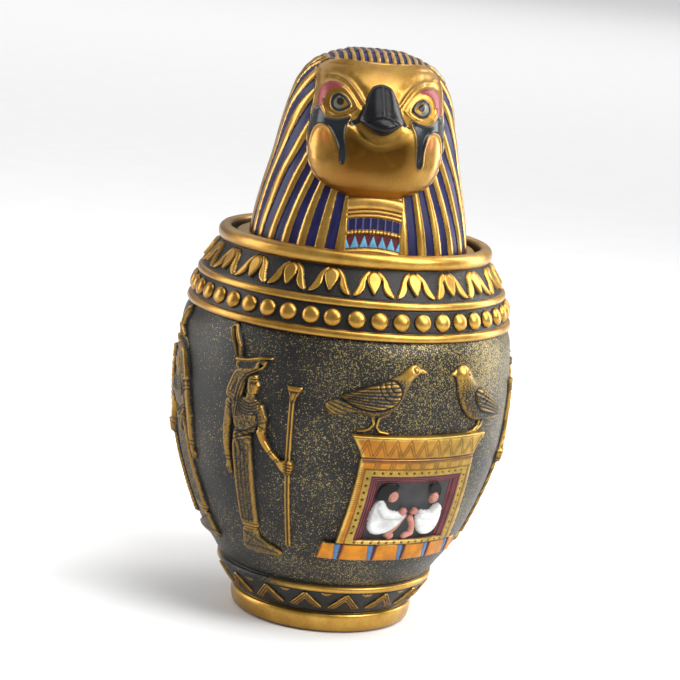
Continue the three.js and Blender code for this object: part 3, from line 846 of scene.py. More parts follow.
def standing_goddess(lean=0.0, plume_back=0.0, cap_proud=1.0):
    """A sculptor for a slim goddess with a staff, in a sheath dress and tall crown, facing the shrine."""
    def sculpt(clay):
        shift = lean * (clay.Z - 76.0) + plume_back * smoothstep(113.0, 121.0, clay.Z)
        clay.S = clay.S - shift
        S, Z = clay.S, clay.Z
        # legs and feet in one block, and the dress over them
        foot = clay.shape([(-5.2, 46.0), (-5.6, 40.0), (-6.7, 34.4), (2.6, 34.1), (10.6, 34.3), (11.8, 36.4),
                           (9.8, 38.6), (5.4, 40.2), (2.8, 42.2), (2.4, 46.0)], 1)
        clay.build(foot, 1.9, 1.1)
        clay.groove(np.abs(clay.chain([(-5.6, 37.4), (4.9, 37.2), (10.0, 36.1)], 0.0)), foot < -0.2)
        clay.groove(np.abs(clay.chain([(-4.6, 43.6), (0.6, 41.4), (5.6, 38.9)], 0.0)), foot < -0.2, 0.35)
        dress = clay.shape([(-6.2, 89.0), (-7.1, 83.0), (-7.0, 77.0), (-6.4, 68.0), (-6.0, 56.0), (-5.4, 44.2),
                            (2.7, 44.0), (2.9, 52.0), (2.9, 62.0), (2.9, 71.0), (2.5, 79.0), (1.9, 89.0)], 1)
        clay.build(dress, 2.2, 1.5)
        for x0, x1 in ((-4.6, -3.8), (-2.6, -2.2), (-0.6, -0.6), (1.2, 1.0)):
            fold = np.abs(S - x0 - (x1 - x0) * (84 - Z) / 38 + 0.16 * np.sin(Z * 1.3 + x0))
            clay.groove(fold, (dress < -0.5) & (Z > 48.5) & (Z < 82.5), 0.22, 0.34, 0.6)
        clay.h -= 0.35 * smoothstep(0.8, 2.2, -dress) * (Z < 80) * (Z > 49)
        for hem in (44.6, 46.0, 47.4):
            clay.groove(np.abs(Z - hem), dress < -0.1, 0.5)
        # torso, sash and its hanging knot
        torso = clay.shape([(-8.4, 100.6), (-2.0, 101.8), (3.8, 101.2), (6.0, 98.8), (6.6, 94.5), (5.2, 90.4),
                            (3.0, 86.8), (-6.4, 86.8), (-7.4, 92.5), (-8.8, 97.0)], 2)
        clay.build(torso, 2.1, 1.7)
        swell(clay, clay.oval((3.0, 93.8), 2.8, 2.4), 0.5, 1.8)
        sash = (torso < 0) | (dress < 0)
        for a, b in (((-7.0, 87.8), (3.4, 85.6)), ((-7.0, 86.2), (3.4, 88.8)), ((-6.8, 84.4), (4.6, 90.6)),
                     ((-6.8, 82.8), (2.4, 87.0)), ((-6.6, 89.6), (2.2, 84.2))):
            clay.groove(np.abs(clay.rod(a, b, 0.0)), sash, 0.42)
        clay.build(clay.chain([(-5.0, 85.0), (-3.8, 81.6), (-2.9, 78.4)], [1.0, 0.8, 0.55]), 2.7, 0.5)
        clay.build(clay.chain([(-3.6, 84.0), (-1.4, 84.4), (1.6, 85.8)], [0.6, 0.6, 0.5]), 2.7, 0.5)
        # neck, small face
        clay.build(clay.rod((0.2, 99.8), (0.8, 104.0), 2.2, 2.0), 1.9, 1.2)
        face = clay.shape([(-1.6, 110.4), (2.4, 111.4), (3.2, 109.4), (3.5, 108.0), (4.7, 106.6), (3.8, 105.9),
                           (4.0, 105.0), (3.5, 104.3), (3.6, 103.3), (2.4, 102.4), (0.4, 102.4),
                           (-1.2, 103.5)], 1)
        clay.build(face, 2.2, 1.2)
        clay.groove(np.abs(clay.oval((1.9, 107.7), 0.95, 0.36, 8)), face < -0.1, 0.4, 0.18)
        clay.groove(np.abs(clay.rod((0.9, 109.0), (3.0, 109.1), 0.0)), face < 0, 0.3, 0.16)
        # wide collar of curved rows
        neck = np.hypot(S - 0.4, (Z - 104.4) * 0.95)
        for ring in (5.0, 6.1, 7.2, 8.3, 9.4):
            clay.groove(np.abs(neck - ring), (torso < -0.1) & (Z > 93.0) & (S > -4.6), 0.45, 0.26, 0.95)
        # wig: swept back to the shoulder, one straight lappet in front
        wig = clay.shape([(-7.4, 112.0), (-9.2, 107.6), (-11.0, 102.4), (-10.6, 99.8), (-7.6, 99.2),
                          (-6.5, 98.0), (-6.4, 92.6), (-3.8, 92.6), (-3.6, 97.0), (-3.3, 101.0), (-2.3, 106.6),
                          (-1.1, 109.5), (2.2, 111.6), (3.4, 113.2), (-2.0, 114.2)], 1)
        clay.build(wig, 2.7, 1.0)
        for inset in (0.0, 1.15):
            strand = clay.chain([(3.0, 113.4 - inset), (-1.6 + inset * 0.4, 110.8 - inset * 0.8),
                                 (-3.9 + inset, 107.2), (-5.2 + inset, 102.0), (-6.0 + inset, 94.8),
                                 (-6.1 + inset, 92.8)], 0.0)
            clay.groove(np.abs(strand), wig < 0, 0.7, 0.28, 0.95)
        for inset in (1.6, 3.2):
            clay.groove(np.abs(wig + inset), (S < -5.2) & (wig < 0) & (Z > 99), 0.3, 0.28, 0.6)
        # crown: a cap widening upward, a thin lip with a curled knot, and a split plume behind
        cap = clay.shape([(-7.3, 111.6), (-7.7, 113.8), (-7.3, 116.0), (-1.8, 116.6), (3.6, 118.2),
                          (4.8, 117.6), (3.4, 115.0), (2.8, 112.8), (-2.0, 111.4)], 1)
        clay.build(cap, 2.3 * cap_proud, 0.9)
        clay.h -= 0.7 * smoothstep(0.6, 1.8, -cap) * (cap < 0)
        clay.build(clay.chain([(-7.2, 115.8), (-1.8, 116.4), (3.5, 117.9), (8.4, 118.3)],
                              [0.6, 0.55, 0.6, 0.35]), 2.9 * cap_proud, 0.5)
        clay.build(clay.oval((4.9, 116.3), 1.5, 1.3), 2.2 * cap_proud, 0.8)
        clay.groove(np.hypot(S - 4.9, Z - 116.3), S > 0, 0.5, 0.4)
        clay.build(clay.chain([(3.0, 113.2), (4.6, 113.8), (5.6, 115.2)], [0.6, 0.6, 0.5]), 1.8, 0.5)
        plume = clay.shape([(-5.8, 115.8), (-8.6, 116.4), (-9.9, 120.6), (-12.3, 124.2), (-13.4, 126.4),
                            (-12.8, 128.3), (-10.8, 129.3), (-9.8, 127.4), (-8.0, 124.4), (-6.3, 120.6),
                            (-5.8, 117.4)], 1)
        clay.build(plume, 2.1, 0.6)
        clay.groove(np.abs(clay.chain([(-7.4, 117.0), (-8.2, 120.5), (-10.3, 124.3), (-11.7, 127.2)], 0.0)),
                    plume < -0.5, 1.5, 0.7, 1.0)
        # arms: one hanging behind, one bent forward to the staff
        arm = clay.chain([(-9.2, 98.0), (-9.5, 93.0), (-10.2, 87.0), (-9.9, 80.0), (-8.8, 72.8)],
                         [2.0, 2.0, 1.9, 1.6, 1.1])
        clay.build(arm, 2.2, 1.3)
        clay.build(clay.chain([(-8.8, 72.4), (-9.0, 70.6), (-8.4, 68.6)], [1.2, 1.5, 1.1]), 1.9, 0.9)
        for band in (97.6, 96.2, 75.4, 73.9):
            clay.groove(np.abs(Z - band + 0.35 * (S + 9.5) * (band > 90)), arm < 0, 0.45)
        for finger in (-9.6, -8.8, -8.0):
            clay.groove(np.abs(S - finger), (Z < 70.6) & (Z > 66), 0.3, 0.18)
        staff_at = wall(Z) * (0.262 + 0.009 * smoothstep(102.5, 108.0, Z))
        half = 1.15 + 1.9 * smoothstep(102.6, 108.8, Z) ** 1.3
        staff = np.maximum(np.abs(S - staff_at) - half, np.abs(Z - 74.6) - 34.4)
        clay.build(staff, 1.7, 0.55)
        clay.groove(np.abs(S - staff_at) - 0.05 * (Z > 104), (staff < -0.45) & (Z < 103.6), 1.0, 0.34, 0.95)
        clay.groove(np.abs(Z - 106.9), staff < -0.3, 0.5)
        clay.groove(np.abs(np.abs(S - staff_at) - 0.45 * half), (staff < -0.2) & (Z > 102.6) & (Z < 106.6), 0.4)
        upper = clay.chain([(5.4, 98.0), (7.0, 93.6), (6.7, 89.2)], [1.7, 1.9, 1.9])
        clay.build(upper, 2.4, 1.2)
        clay.groove(np.abs(Z - 90.6 + 0.3 * (S - 6.6)), upper < 0, 0.4)
        clay.groove(np.abs(Z - 92.2 - 0.4 * (S - 6.6)), upper < 0, 0.35)
        lower = clay.chain([(6.4, 88.2), (7.6, 84.8), (10.4, 81.0), (14.6, 76.9)], [1.9, 1.55, 1.4, 1.4])
        clay.build(lower, 2.7, 1.1)
        for along in (0.4, 1.3, 4.2, 5.1):
            across_arm = np.abs((S - 10.2) * 0.714 - (Z - 81.2) * 0.70 - along)
            clay.groove(across_arm, (lower < 0) & (S > 8.4), 0.45, 0.22)
        hand = clay.shape([(13.6, 76.0), (14.8, 78.4), (17.8, 78.9), (20.4, 78.4), (20.5, 74.4), (18.2, 71.9),
                           (15.4, 73.4)], 1)
        clay.build(hand, 3.0, 0.9)
        for finger in (77.3, 76.0, 74.7, 73.5):
            clay.groove(np.abs(Z - finger + 0.16 * (S - 18.0)), (hand < -0.15) & (S > 16.4), 0.6, 0.22, 0.95)
        clay.h += 0.10 * np.sin(S * 4.1 + 1.3 * np.sin(Z * 2.3)) * np.sin(Z * 3.7 + S) * (clay.h > 0.4)
        gild(clay, 0.43, 3, 0.35)
        bright = np.maximum.reduce([smoothstep(0.3, -0.3, lower), smoothstep(0.3, -0.3, hand),
                                    0.6 * smoothstep(0.3, -0.3, staff),
                                    smoothstep(1.0, 0.3, np.abs(Z - 45.9) - 1.4) * (dress < 0),
                                    smoothstep(1.0, -0.2, face) * smoothstep(0.5, 3.4, S)])
        clay.tones["gilt"] += 0.30 * bright * (clay.h > 0)
    return sculpt


SHRINE_ORANGE = (0.46, 0.16, 0.010)
SHRINE_GOLD = (0.42, 0.25, 0.044)
STEP_MAROON = (0.085, 0.008, 0.011)
STEP_MAUVE = (0.20, 0.070, 0.078)
NICHE_GREY = (0.042, 0.042, 0.044)
ROBE_WHITE = (0.74, 0.75, 0.74)
FLESH = (0.62, 0.27, 0.21)
HAIR_BLACK = (0.002, 0.002, 0.002)
BAR_BLUE = (0.08, 0.22, 0.42)
BAR_RED = (0.12, 0.015, 0.02)
PLINTH_ORANGE = (0.62, 0.225, 0.012)
LINE_PLUM = (0.15, 0.045, 0.065)
BAND_GOLD = (0.43, 0.275, 0.048)
EDGE_GOLD = (0.62, 0.40, 0.085)
NICHE_STEPS = ((20.6, 75.9, 2.0), (19.6, 74.9, 1.5), (18.6, 74.0, 1.0), (17.6, 73.2, 0.5))  # half, top, level
BAR_PLACES = (-24.6, -11.2, 1.5, 14.0, 26.4)
LEFT_FIGURE = dict(
    hair=[(-14.2, 64.6), (-16.9, 65.6), (-16.6, 68.8), (-15.6, 71.8), (-12.6, 73.2), (-8.4, 72.6), (-6.8, 69.8),
          (-9.0, 69.2), (-10.8, 67.4), (-11.0, 64.4)],
    face=(-9.1, 66.7),
    robe=[(-14.9, 65.8), (-12.0, 64.7), (-10.2, 61.0), (-5.0, 60.0), (-1.6, 59.0), (-2.7, 56.0), (-5.2, 52.4),
          (-8.7, 49.8), (-13.0, 49.2), (-16.2, 51.8), (-17.2, 56.4), (-17.0, 61.6)],
    sleeve=[(-13.4, 62.6), (-10.6, 58.8), (-4.2, 58.2)], hand=(-3.3, 60.2),
    leg=[(-1.9, 58.0), (-4.4, 53.0), (-7.0, 49.6), (-5.4, 48.6)])
RIGHT_FIGURE = dict(
    hair=[(6.0, 71.6), (8.9, 73.0), (12.3, 71.6), (14.0, 67.4), (12.4, 65.4), (11.4, 67.8), (7.8, 67.6),
          (6.2, 69.0)],
    face=(10.2, 65.4),
    robe=[(13.7, 63.4), (16.0, 59.0), (16.0, 52.4), (13.4, 48.7), (9.6, 48.2), (5.4, 51.6), (2.8, 57.4),
          (4.2, 60.8), (8.9, 59.6), (11.0, 62.2)],
    sleeve=[(13.2, 61.0), (10.2, 57.6), (5.4, 57.8)], hand=(1.9, 60.0),
    leg=[(1.0, 57.4), (3.4, 53.4), (3.6, 49.6), (1.2, 48.6)])
PLAIN_FIGURE = ((13, 66), (16.4, 60), (16.4, 50), (8, 49.4), (4, 57), (8, 62))


def shrine_front(clay, plain=False):
    """A temple front: plinth, framed niche with stepped jambs and two robed figures, flared cornice."""
    S, Z = clay.S, clay.Z
    tones = clay.tones

    def box(half, low, high):
        """Distance to a block of this half width between two heights, negative inside."""
        return np.maximum(np.abs(S) - half, np.maximum(low - Z, Z - high))

    def coat(mask, colour, metal):
        """Paints where the mask is true; the plain one is left for gilding."""
        if not plain:
            clay.tint(mask, paint=colour, metal=metal)

    lean = 0.02 * (Z - 62)
    warm = np.clip(0.35 - S / 42, 0, 1)[..., None]
    gold = np.array(SHRINE_ORANGE) * warm + np.array(SHRINE_GOLD) * (1 - warm)
    if not plain:
        tones["paint"][:] = gold
        tones["metal"][:] = 0.85
    clay.build(box(31.8, 37.0, 45.0), 2.2, 0.6)
    coat(Z < 44.3, PLINTH_ORANGE, 0.45)
    clay.build(box(26.5 - lean, 44.6, 84.0), 2.5, 0.5)
    climb = ((Z - 83.6) / 9.2).clip(0, 1)
    flare = 26.2 + 4.9 * climb ** 1.25
    cornice = box(flare, 83.2, 92.8)
    rise = 2.7 + 1.0 * climb ** 1.6
    clay.h = np.where(cornice < 0, np.maximum(clay.h, rise * np.clip(-cornice / 0.5, 0, 1) ** 0.5), clay.h)
    clay.h = np.maximum(clay.h, np.where(cornice < 0, -9, -cornice * 1.4))
    # cornice: doubled fine V strokes side by side, under a thin top bead
    inside = cornice < -0.25
    valley = off_line(S + 1.4, 5.8)
    for foot in (0.0, 1.0):
        stroke = np.abs((valley - foot) * 0.93 - (Z - 84.6) * 0.37)
        clay.groove(stroke, inside & (Z < 91.6) & (Z > 84.2), 0.34, 0.19, 0.75)
    clay.groove(np.abs(Z - 92.0), inside, 0.3, 0.2, 0.5)
    clay.groove(np.abs(Z - 83.5), np.abs(S) < 27, 0.6, 0.35, 0.9)
    coat((np.abs(Z - 82.75) < 0.26) & (np.abs(S) < 25.6), LINE_PLUM, 0.1)
    clay.groove(np.abs(Z - 82.1), np.abs(S) < 25.6, 0.35, 0.22, 0.7)
    # lintel ticks in twos and threes
    front = np.abs(S) < 26.2 - lean
    group = (S + 41.3) % 6.3
    tick = np.minimum.reduce([np.abs(group - k - 0.1 * (Z - 80)) for k in (2.2, 3.1, 4.0)])
    clay.groove(tick, (Z > 79.4) & (Z < 81.8) & front & (np.abs(S) < 21), 0.34, 0.2, 0.8)
    clay.groove(np.abs(Z - 79.0), np.abs(S) < 23.8, 0.45, 0.22, 0.8)
    # pitted band with a row of drilled dots round the niche
    border = box(23.6, 44.8, 78.8)
    if not plain:
        clay.tint(border < 0, paint=BAND_GOLD)
    pits = np.sin(S * 5.3 + 1.7 * np.sin(Z * 3.1)) * np.sin(Z * 5.9 + 1.3 * np.sin(S * 2.7))
    clay.h -= 0.14 * smoothstep(0.35, 0.9, pits) * (border < -0.2) * (clay.h > 0)
    # painted shade in the pits
    clay.recess = np.maximum(clay.recess, 0.45 * smoothstep(0.35, 0.9, pits) * (border < -0.2))
    along_side = off_line(Z - 61.0, 3.1)
    along_foot = off_line(S + 1.65, 3.3)
    side_row = np.hypot(np.abs(S) - 22.1, along_side) + 9 * ((Z < 47.5) | (Z > 76.2))
    foot_row = np.hypot(Z - 45.8, along_foot) + 9 * (np.abs(S) > 21)
    head_row = np.hypot(Z - 77.4, along_foot) + 9 * (np.abs(S) > 22.6)
    dots = np.minimum.reduce([side_row, foot_row, head_row])
    clay.cut(np.maximum(dots - 0.26, 0), 0.7, 0.20, 1.0)
    clay.groove(np.abs(np.abs(S) - 23.7), (Z < 79.0) & (Z > 44.8), 0.45, 0.22, 0.85)
    clay.groove(off_line(Z, 0.95), (Z > 60) & (Z < 79.5) & (np.abs(S) > 24.0) & front, 0.22, 0.18, 0.5)
    # stepped maroon jambs and lintel down to the niche floor
    for half, top, level in NICHE_STEPS:
        step = box(half, 46.6, top)
        clay.h = np.where(step < 0, level, clay.h)
        clay.recess[step < 0] = 0
        coat(step < 0, STEP_MAROON, 0.05)
        coat((np.abs(step) < 0.13) & (Z > 47.2), STEP_MAUVE, 0.05)
    niche = box(16.7, 46.8, 72.5)
    clay.h = np.where(niche < 0, 0.35, clay.h)
    coat(niche < 0, NICHE_GREY, 0.0)

    def part(d, height, edge_width, colour, shade=0.5):
        """One painted part of a figure, with painted shade round its edge."""
        clay.build(d, height, edge_width)
        coat(d < 0, colour, 0.0)
        clay.recess[d < 0] = 0
        clay.recess = np.maximum(clay.recess, shade * soft(d, 0.3) * (d < 0.35))

    def seated(hair, face, robe, sleeve, hand, leg):
        """A small robed figure: hair, face, leg, robe with its sleeve, and hand."""
        part(clay.shape(hair, 2), 1.6, 0.9, HAIR_BLACK)
        part(clay.oval(face, 2.15, 2.5), 2.0, 1.3, FLESH, 0.3)
        in_face = np.hypot(S - face[0], Z - face[1]) < 1.2
        clay.groove(np.hypot(S - face[0] + 0.2, Z - face[1] - 0.3), in_face, 0.25, 0.3, 0.25)
        part(clay.chain(leg, [1.2, 1.35, 1.5, 1.6]), 1.7, 1.1, FLESH, 0.3)
        outline = clay.shape(robe, 2)
        part(outline, 2.5, 1.3, ROBE_WHITE, 0.25)
        fall = clay.chain(sleeve, [2.0, 1.8, 1.3])
        swell(clay, np.maximum(fall, outline), 0.45, 0.9)
        clay.groove(np.abs(fall), outline < -0.5, 0.28, 0.3, 0.22)
        part(clay.oval(hand, 1.75, 1.6), 2.4, 1.0, FLESH, 0.3)

    if plain:
        for side in (-1, 1):
            robe = clay.shape([(side * s, z) for s, z in PLAIN_FIGURE], 2)
            clay.build(robe, 2.4, 2.4)
            clay.build(clay.oval((side * 9.4, 68.8), 2.9, 3.2), 2.2, 1.8)
    else:
        seated(**LEFT_FIGURE)
        seated(**RIGHT_FIGURE)
    # upright bars on the plinth, blue with a dark red side, wider at the top
    for centre in BAR_PLACES:
        offset = S - centre + 0.10 * (Z - 40.6)
        wide = 1.15 + 0.10 * (Z - 37.0)
        band = (Z > 37.4) & (Z < 44.4)
        coat(band & (offset > -wide) & (offset < 0.35), BAR_BLUE, 0.05)
        coat(band & (offset >= 0.35) & (offset < wide), BAR_RED, 0.05)
        clay.groove(np.abs(offset - 0.35), band, 0.5, 0.3, 0.35)
        clay.groove(np.abs(np.abs(offset) - wide - 0.1), band, 0.3, 0.2, 0.55)
    clay.groove(np.abs(Z - 44.7), np.abs(S) < 31, 0.5, 0.3, 0.8)
    if plain:
        gild(clay, 0.62, 3, 0.9)
        return
    # gold shows on the edges that stand proud, and painted shade darkens the hollows
    proud = clay.h - blur(np.maximum(clay.h, -0.4), 3)
    metal = tones["metal"]
    lit = smoothstep(0.1, 0.5, proud)[..., None] * (metal > 0.5)[..., None]
    tones["paint"] = tones["paint"] * (1 - lit) + np.array(EDGE_GOLD) * lit
    shade = np.clip(-proud * 1.1, 0, 0.85) * (metal > 0.5)
    clay.recess = np.clip(np.maximum(clay.recess * np.where(metal > 0.5, 1, 0.8), shade), 0, 1)


# ---------------------------------------------------------------- the lid: headcloth, face, beak, collar

CLOTH_MIDDLE = -6.0
CLOTH_ROUND = 2.35  # power of the rounded-oval section
CLOTH_POWER = 2 / CLOTH_ROUND
BASE_HALF, BASE_FRONT, BASE_BACK = 45.2, 37.5, 43.5  # the section that groove places are measured round
CROWN_HALF = 22.6  # the crown's ribs reach this far to each side
CROWN_RIBS = 7
#                 height, half width, front, back
CLOTH = np.array([(157.5, 45.3, -43.6, 37.6), (164, 44.5, -42.6, 37.3), (170, 43.6, -41.5, 37.0),
                  (180, 41.6, -38.9, 36.0), (193, 38.5, -36.0, 34.5), (208, 35.6, -33.0, 32.5),
                  (219, 33.0, -31.0, 29.5), (226, 30.4, -29.0, 26.0), (231, 27.0, -27.0, 21.5),
                  (235.4, 21.4, -23.4, 14.5), (238.3, 13.4, -17.6, 7.0), (239.5, 6.4, -11.8, -0.6),
                  (239.75, 0.0, -7.0, -7.0)])


def cloth_section(z, column):
    """Half width (1), front (2) or back (3) of the headcloth's section at height z."""
    return smooth_line(CLOTH[:, [0, column]], z)


def cloth_front(x, z):
    """The bare headcloth's front surface over a place (x, z)."""
    half = np.interp(z, CLOTH[:, 0], CLOTH[:, 1])
    front = np.interp(z, CLOTH[:, 0], CLOTH[:, 2])
    out = np.clip(1 - np.abs(x / np.maximum(half, 0.1)) ** CLOTH_ROUND, 0, 1) ** (1 / CLOTH_ROUND)
    return CLOTH_MIDDLE + (front - CLOTH_MIDDLE) * out


# Where the navy grooves run: arc round the base section from the front, at rising heights.
GROOVES = [
    [(157, 17.6), (161, 17.3), (172, 16.4), (183.6, 15.3), (200, 12.5), (240, 6)],
    [(157, 25.9), (161, 25.6), (174, 23.9), (185, 21.8), (200, 18.5), (240, 10)],
    [(157, 33.5), (161, 33.2), (175, 31.0), (187.5, 27.3), (200, 23.5), (240, 12)],
    [(157, 41.2), (161, 40.9), (176, 37.8), (192, 32.7), (204, 28.0), (240, 15)],
    [(157, 49.5), (161, 49.3), (178, 45.2), (190, 42.0), (199.5, 37.0), (210, 31.5), (240, 18)],
    [(157, 58.0), (161, 57.8), (177, 56.3), (189, 53.8), (199, 48.2), (209, 42.4), (218, 37.0), (240, 24)],
    [(157, 66.4), (161, 66.2), (180, 66.0), (195, 64.2), (205, 61.2), (210, 59.0), (215.3, 55.0), (220, 48.8),
     (223.6, 43.4), (229, 37), (240, 30)],
    [(157, 74.9), (161, 74.7), (180, 75.2), (200, 74.0), (212, 71.0), (221, 65.5), (227, 59.6), (231, 53.6),
     (233.5, 47.0), (240, 40)],
    [(157, 83.4), (161, 83.2), (180, 84.2), (200, 83.8), (212, 81.0), (221, 75.5), (227, 69.6), (231, 63.6),
     (234.5, 57.0), (240, 49)],
]
BASE_PITCH = 8.2


def headcloth():
    """The striped cloth: gold ribs and sunk navy grooves, and fine ribs over the crown and down the back."""
    around, low_rows, high_rows = 600, 86, 52
    z = np.concatenate([np.linspace(157.5, 229.5, low_rows),
                        229.5 + 10.25 * np.sin(np.linspace(0, np.pi / 2, high_rows + 1))[1:]])
    z[-1] = 239.75
    t = TAU * (np.arange(around) + 0.5) / around
    half = np.maximum(cloth_section(z, 1), 0)[:, None]
    front = cloth_section(z, 2)[:, None]
    back = cloth_section(z, 3)[:, None]
    s, c = np.sin(t)[None, :], -np.cos(t)[None, :]
    x = half * np.sign(s) * np.abs(s) ** CLOTH_POWER
    reach = np.where(c < 0, CLOTH_MIDDLE - front, back - CLOTH_MIDDLE)
    y = CLOTH_MIDDLE + reach * np.sign(c) * np.abs(c) ** CLOTH_POWER
    points = np.stack([x, y, z[:, None] + 0 * x], -1)
    # base arc of each column
    fine = np.linspace(0, np.pi, 1441)
    bx = BASE_HALF * np.sin(fine) ** CLOTH_POWER
    by = -np.sign(np.cos(fine)) * np.abs(np.cos(fine)) ** CLOTH_POWER
    by = by * np.where(by > 0, BASE_BACK, BASE_FRONT)
    arc = np.concatenate([[0], np.cumsum(np.hypot(np.diff(bx), np.diff(by)))])
    A = np.interp(np.minimum(t, TAU - t), fine, arc)[None, :] + 0 * x
    shrink = half / BASE_HALF + 0 * x
    Z = z[:, None] + 0 * x
    # the crown's ribs spread down the back
    crown_half = CROWN_HALF + 6.5 * np.maximum(225 - Z, 0) / 67
    ratio = np.clip(crown_half / np.maximum(half, 0.1), 0, 1)
    edge_t = np.pi - np.arcsin(np.clip(ratio ** (1 / CLOTH_POWER), 0, 1))
    crown_arc = np.interp(edge_t, fine, arc)
    curves = np.stack([smooth_line(g, z) for g in GROOVES])
    q = np.zeros_like(x)
    pitch = np.full_like(x, 8.0)
    for r in range(len(z)):
        knots = np.concatenate([[curves[0, r] - BASE_PITCH], curves[:, r],
                                [max(crown_arc[r, 0], curves[-1, r] + 8)]])
        marks = np.concatenate([[0], np.arange(1, 10), [12.5]])
        q[r] = np.interp(A[r], knots, marks)
        slope = np.gradient(knots, marks)
        pitch[r] = np.interp(q[r], marks, slope) * shrink[r]
    navy = (0.265 - np.abs(q - np.round(q))) * pitch
    navy = np.where(q < 0.5, -0.9, navy)
    navy = np.where(A < 12.8, -1.0, navy)
    # crown and back ribs
    fine_pitch = crown_half / CROWN_RIBS
    place = np.abs(x) / fine_pitch
    crown = (np.abs(x) < crown_half) & ((y > -2) & (A > 70) | (Z > np.where(y < -6, 235.0, 230.0)))
    crown_navy = (0.27 - np.abs(place - np.round(place))) * fine_pitch
    crown_navy = np.where((y < -6) & (Z < 236.0), np.minimum(crown_navy, (Z - 235.2) * 1.5), crown_navy)
    navy = np.where(crown, crown_navy, navy)
    sunk = np.where(crown, 0.75, 0.85)
    rounding = np.where(crown, 0.28, 0.32)
    h = 0.3 - sunk * smoothstep(-0.3, 0.45, navy) - rounding * (1 - smoothstep(0, 1.6, -navy)) * (navy < 0)
    # panel bed between the lappets
    bed = smoothstep(10.9, 10.3, np.abs(x)) * smoothstep(184, 181, Z) * (y < -20)
    h = h * (1 - bed) - 1.3 * bed
    ease = smoothstep(239.7, 238.9, Z)
    h = h * (0.35 + 0.65 * ease)
    points = displaced(points, h)
    # painted shade in the grooves' hollows
    hollow = np.clip(blur(h, 3) - h, 0, 1) * 0.9
    readings = {"navy": np.append(navy.ravel(), [-1.0, -1.0]),
                "recess": np.append((hollow * (navy < 0.2)).ravel(), [0, 0])}
    flat = np.concatenate([points.reshape(-1, 3), [[0, CLOTH_MIDDLE, 157.5], [0, -7.0, 240.0]]])
    return make_piece("headcloth", flat, grid_quads(len(z), around, True),
                      closing_fans(around, x.size - around, x.size), readings, CLOTH_FINISH)


def displaced(points, h):
    """Moves a grid of points, closed sideways, along its own surface normal."""
    up = np.gradient(points, axis=0)
    across = (np.roll(points, -1, 1) - np.roll(points, 1, 1)) / 2
    normal = np.cross(across, up)
    size = np.linalg.norm(normal, axis=-1, keepdims=True)
    return points + normal / np.maximum(size, 1e-6) * h[..., None]


FACE_HALF = [(181.0, 0.5), (181.5, 6.5), (182.6, 11.5), (184.4, 16.4), (186.4, 20.2), (189, 23.4), (192, 25.4),
             (196, 26.9), (201, 27.6), (206, 27.6), (211, 27.0), (216, 26.5), (221, 26.1), (226, 26.1),
             (229, 26.2), (231.6, 25.4), (233.6, 23.4), (234.8, 20.6), (235.3, 17.5)]
FACE_FRONT = [(180.6, -36.8), (182, -38.6), (184, -40.4), (187, -42.2), (192, -44.0), (200, -45.0),
              (208, -44.4), (215, -42.6), (222, -39.6), (227.4, -35.6), (231, -31.2), (233.5, -27.2),
              (235.4, -23.6)]


FACE_BROW = [(15.0, 235.5), (10.0, 235.2), (5.0, 234.7), (0.0, 234.5)]


def mirrored_outline(right):
    """A closed, rounded outline from its right half, given from the lowest point up as (x, z)."""
    right = np.array(right, float)
    return rounded(np.concatenate([right, right[-2:0:-1] * [-1, 1]]), 3)


def at_height(knots, z):
    """Straight reading between (z, value) knots."""
    knots = np.asarray(knots, float)
    return np.interp(z, knots[:, 0], knots[:, 1])


def face_outline():
    return mirrored_outline([(0.0, 180.9)] + [(w, z) for z, w in FACE_HALF] + FACE_BROW)


def beak_outline():
    return mirrored_outline([(w, z) for z, w in BEAK_HALF])


def face_surface(x, z):
    """The bare face's front, swelling from the headcloth's edge."""
    half = at_height(FACE_HALF, z)
    edge = cloth_front(half, z)
    front = smooth_line(FACE_FRONT, z)
    share = np.clip(np.abs(x) / np.maximum(half, 0.5), 0, 1)
    return edge + (front - edge) * np.clip(1 - share ** 2.5, 0, 1) ** (1 / 2.3)


EYE_LINE = [(20.4, 219.4), (19.6, 221.6), (17.4, 223.0), (14.9, 222.2), (13.3, 220.6), (12.2, 218.3),
            (13.9, 216.9), (16.0, 215.8), (18.4, 215.7), (20.1, 217.1)]
ROSE_PATCH = [(24.9, 222.6), (24.0, 225.0), (22.0, 226.7), (19.5, 227.5), (16.8, 227.2), (15.3, 225.8),
              (16.4, 224.9), (18.6, 224.8), (20.8, 223.6), (22.2, 221.2), (22.8, 219.0), (23.2, 216.6),
              (25.1, 216.0), (25.3, 218.8)]
CHEEK = [(26.4, 206.3), (25.0, 208.5), (22.8, 209.6), (20.8, 208.9), (19.7, 206.9), (18.7, 204.4),
         (17.5, 202.3), (17.1, 199.7), (18.7, 196.4), (21.5, 194.5), (24.2, 195.3), (26.0, 198.1),
         (26.8, 202.3)]
BLACK_MARK = [(24.2, 217.0), (22.6, 214.4), (21.0, 212.9), (18.4, 212.7), (15.4, 213.3), (12.2, 214.8),
              (13.0, 212.4), (14.2, 209.6), (14.6, 206.0), (14.2, 202.2), (14.0, 198.8), (14.5, 196.0),
              (15.6, 195.1), (16.7, 196.2), (17.1, 198.8), (17.1, 201.3), (17.8, 204.2), (18.8, 206.9),
              (20.2, 209.4), (22.6, 210.3), (24.9, 209.2), (26.1, 206.8), (26.7, 204.2), (26.9, 201.0),
              (27.6, 206.0), (27.2, 211.0), (26.3, 215.0), (25.3, 216.9)]


FACE_TURN = -1.5  # sideways, at the front of the face


def face_lean(y):
    """The face looks a little to its right: how far its front leans sideways."""
    return FACE_TURN * smoothstep(-18, -40, y)


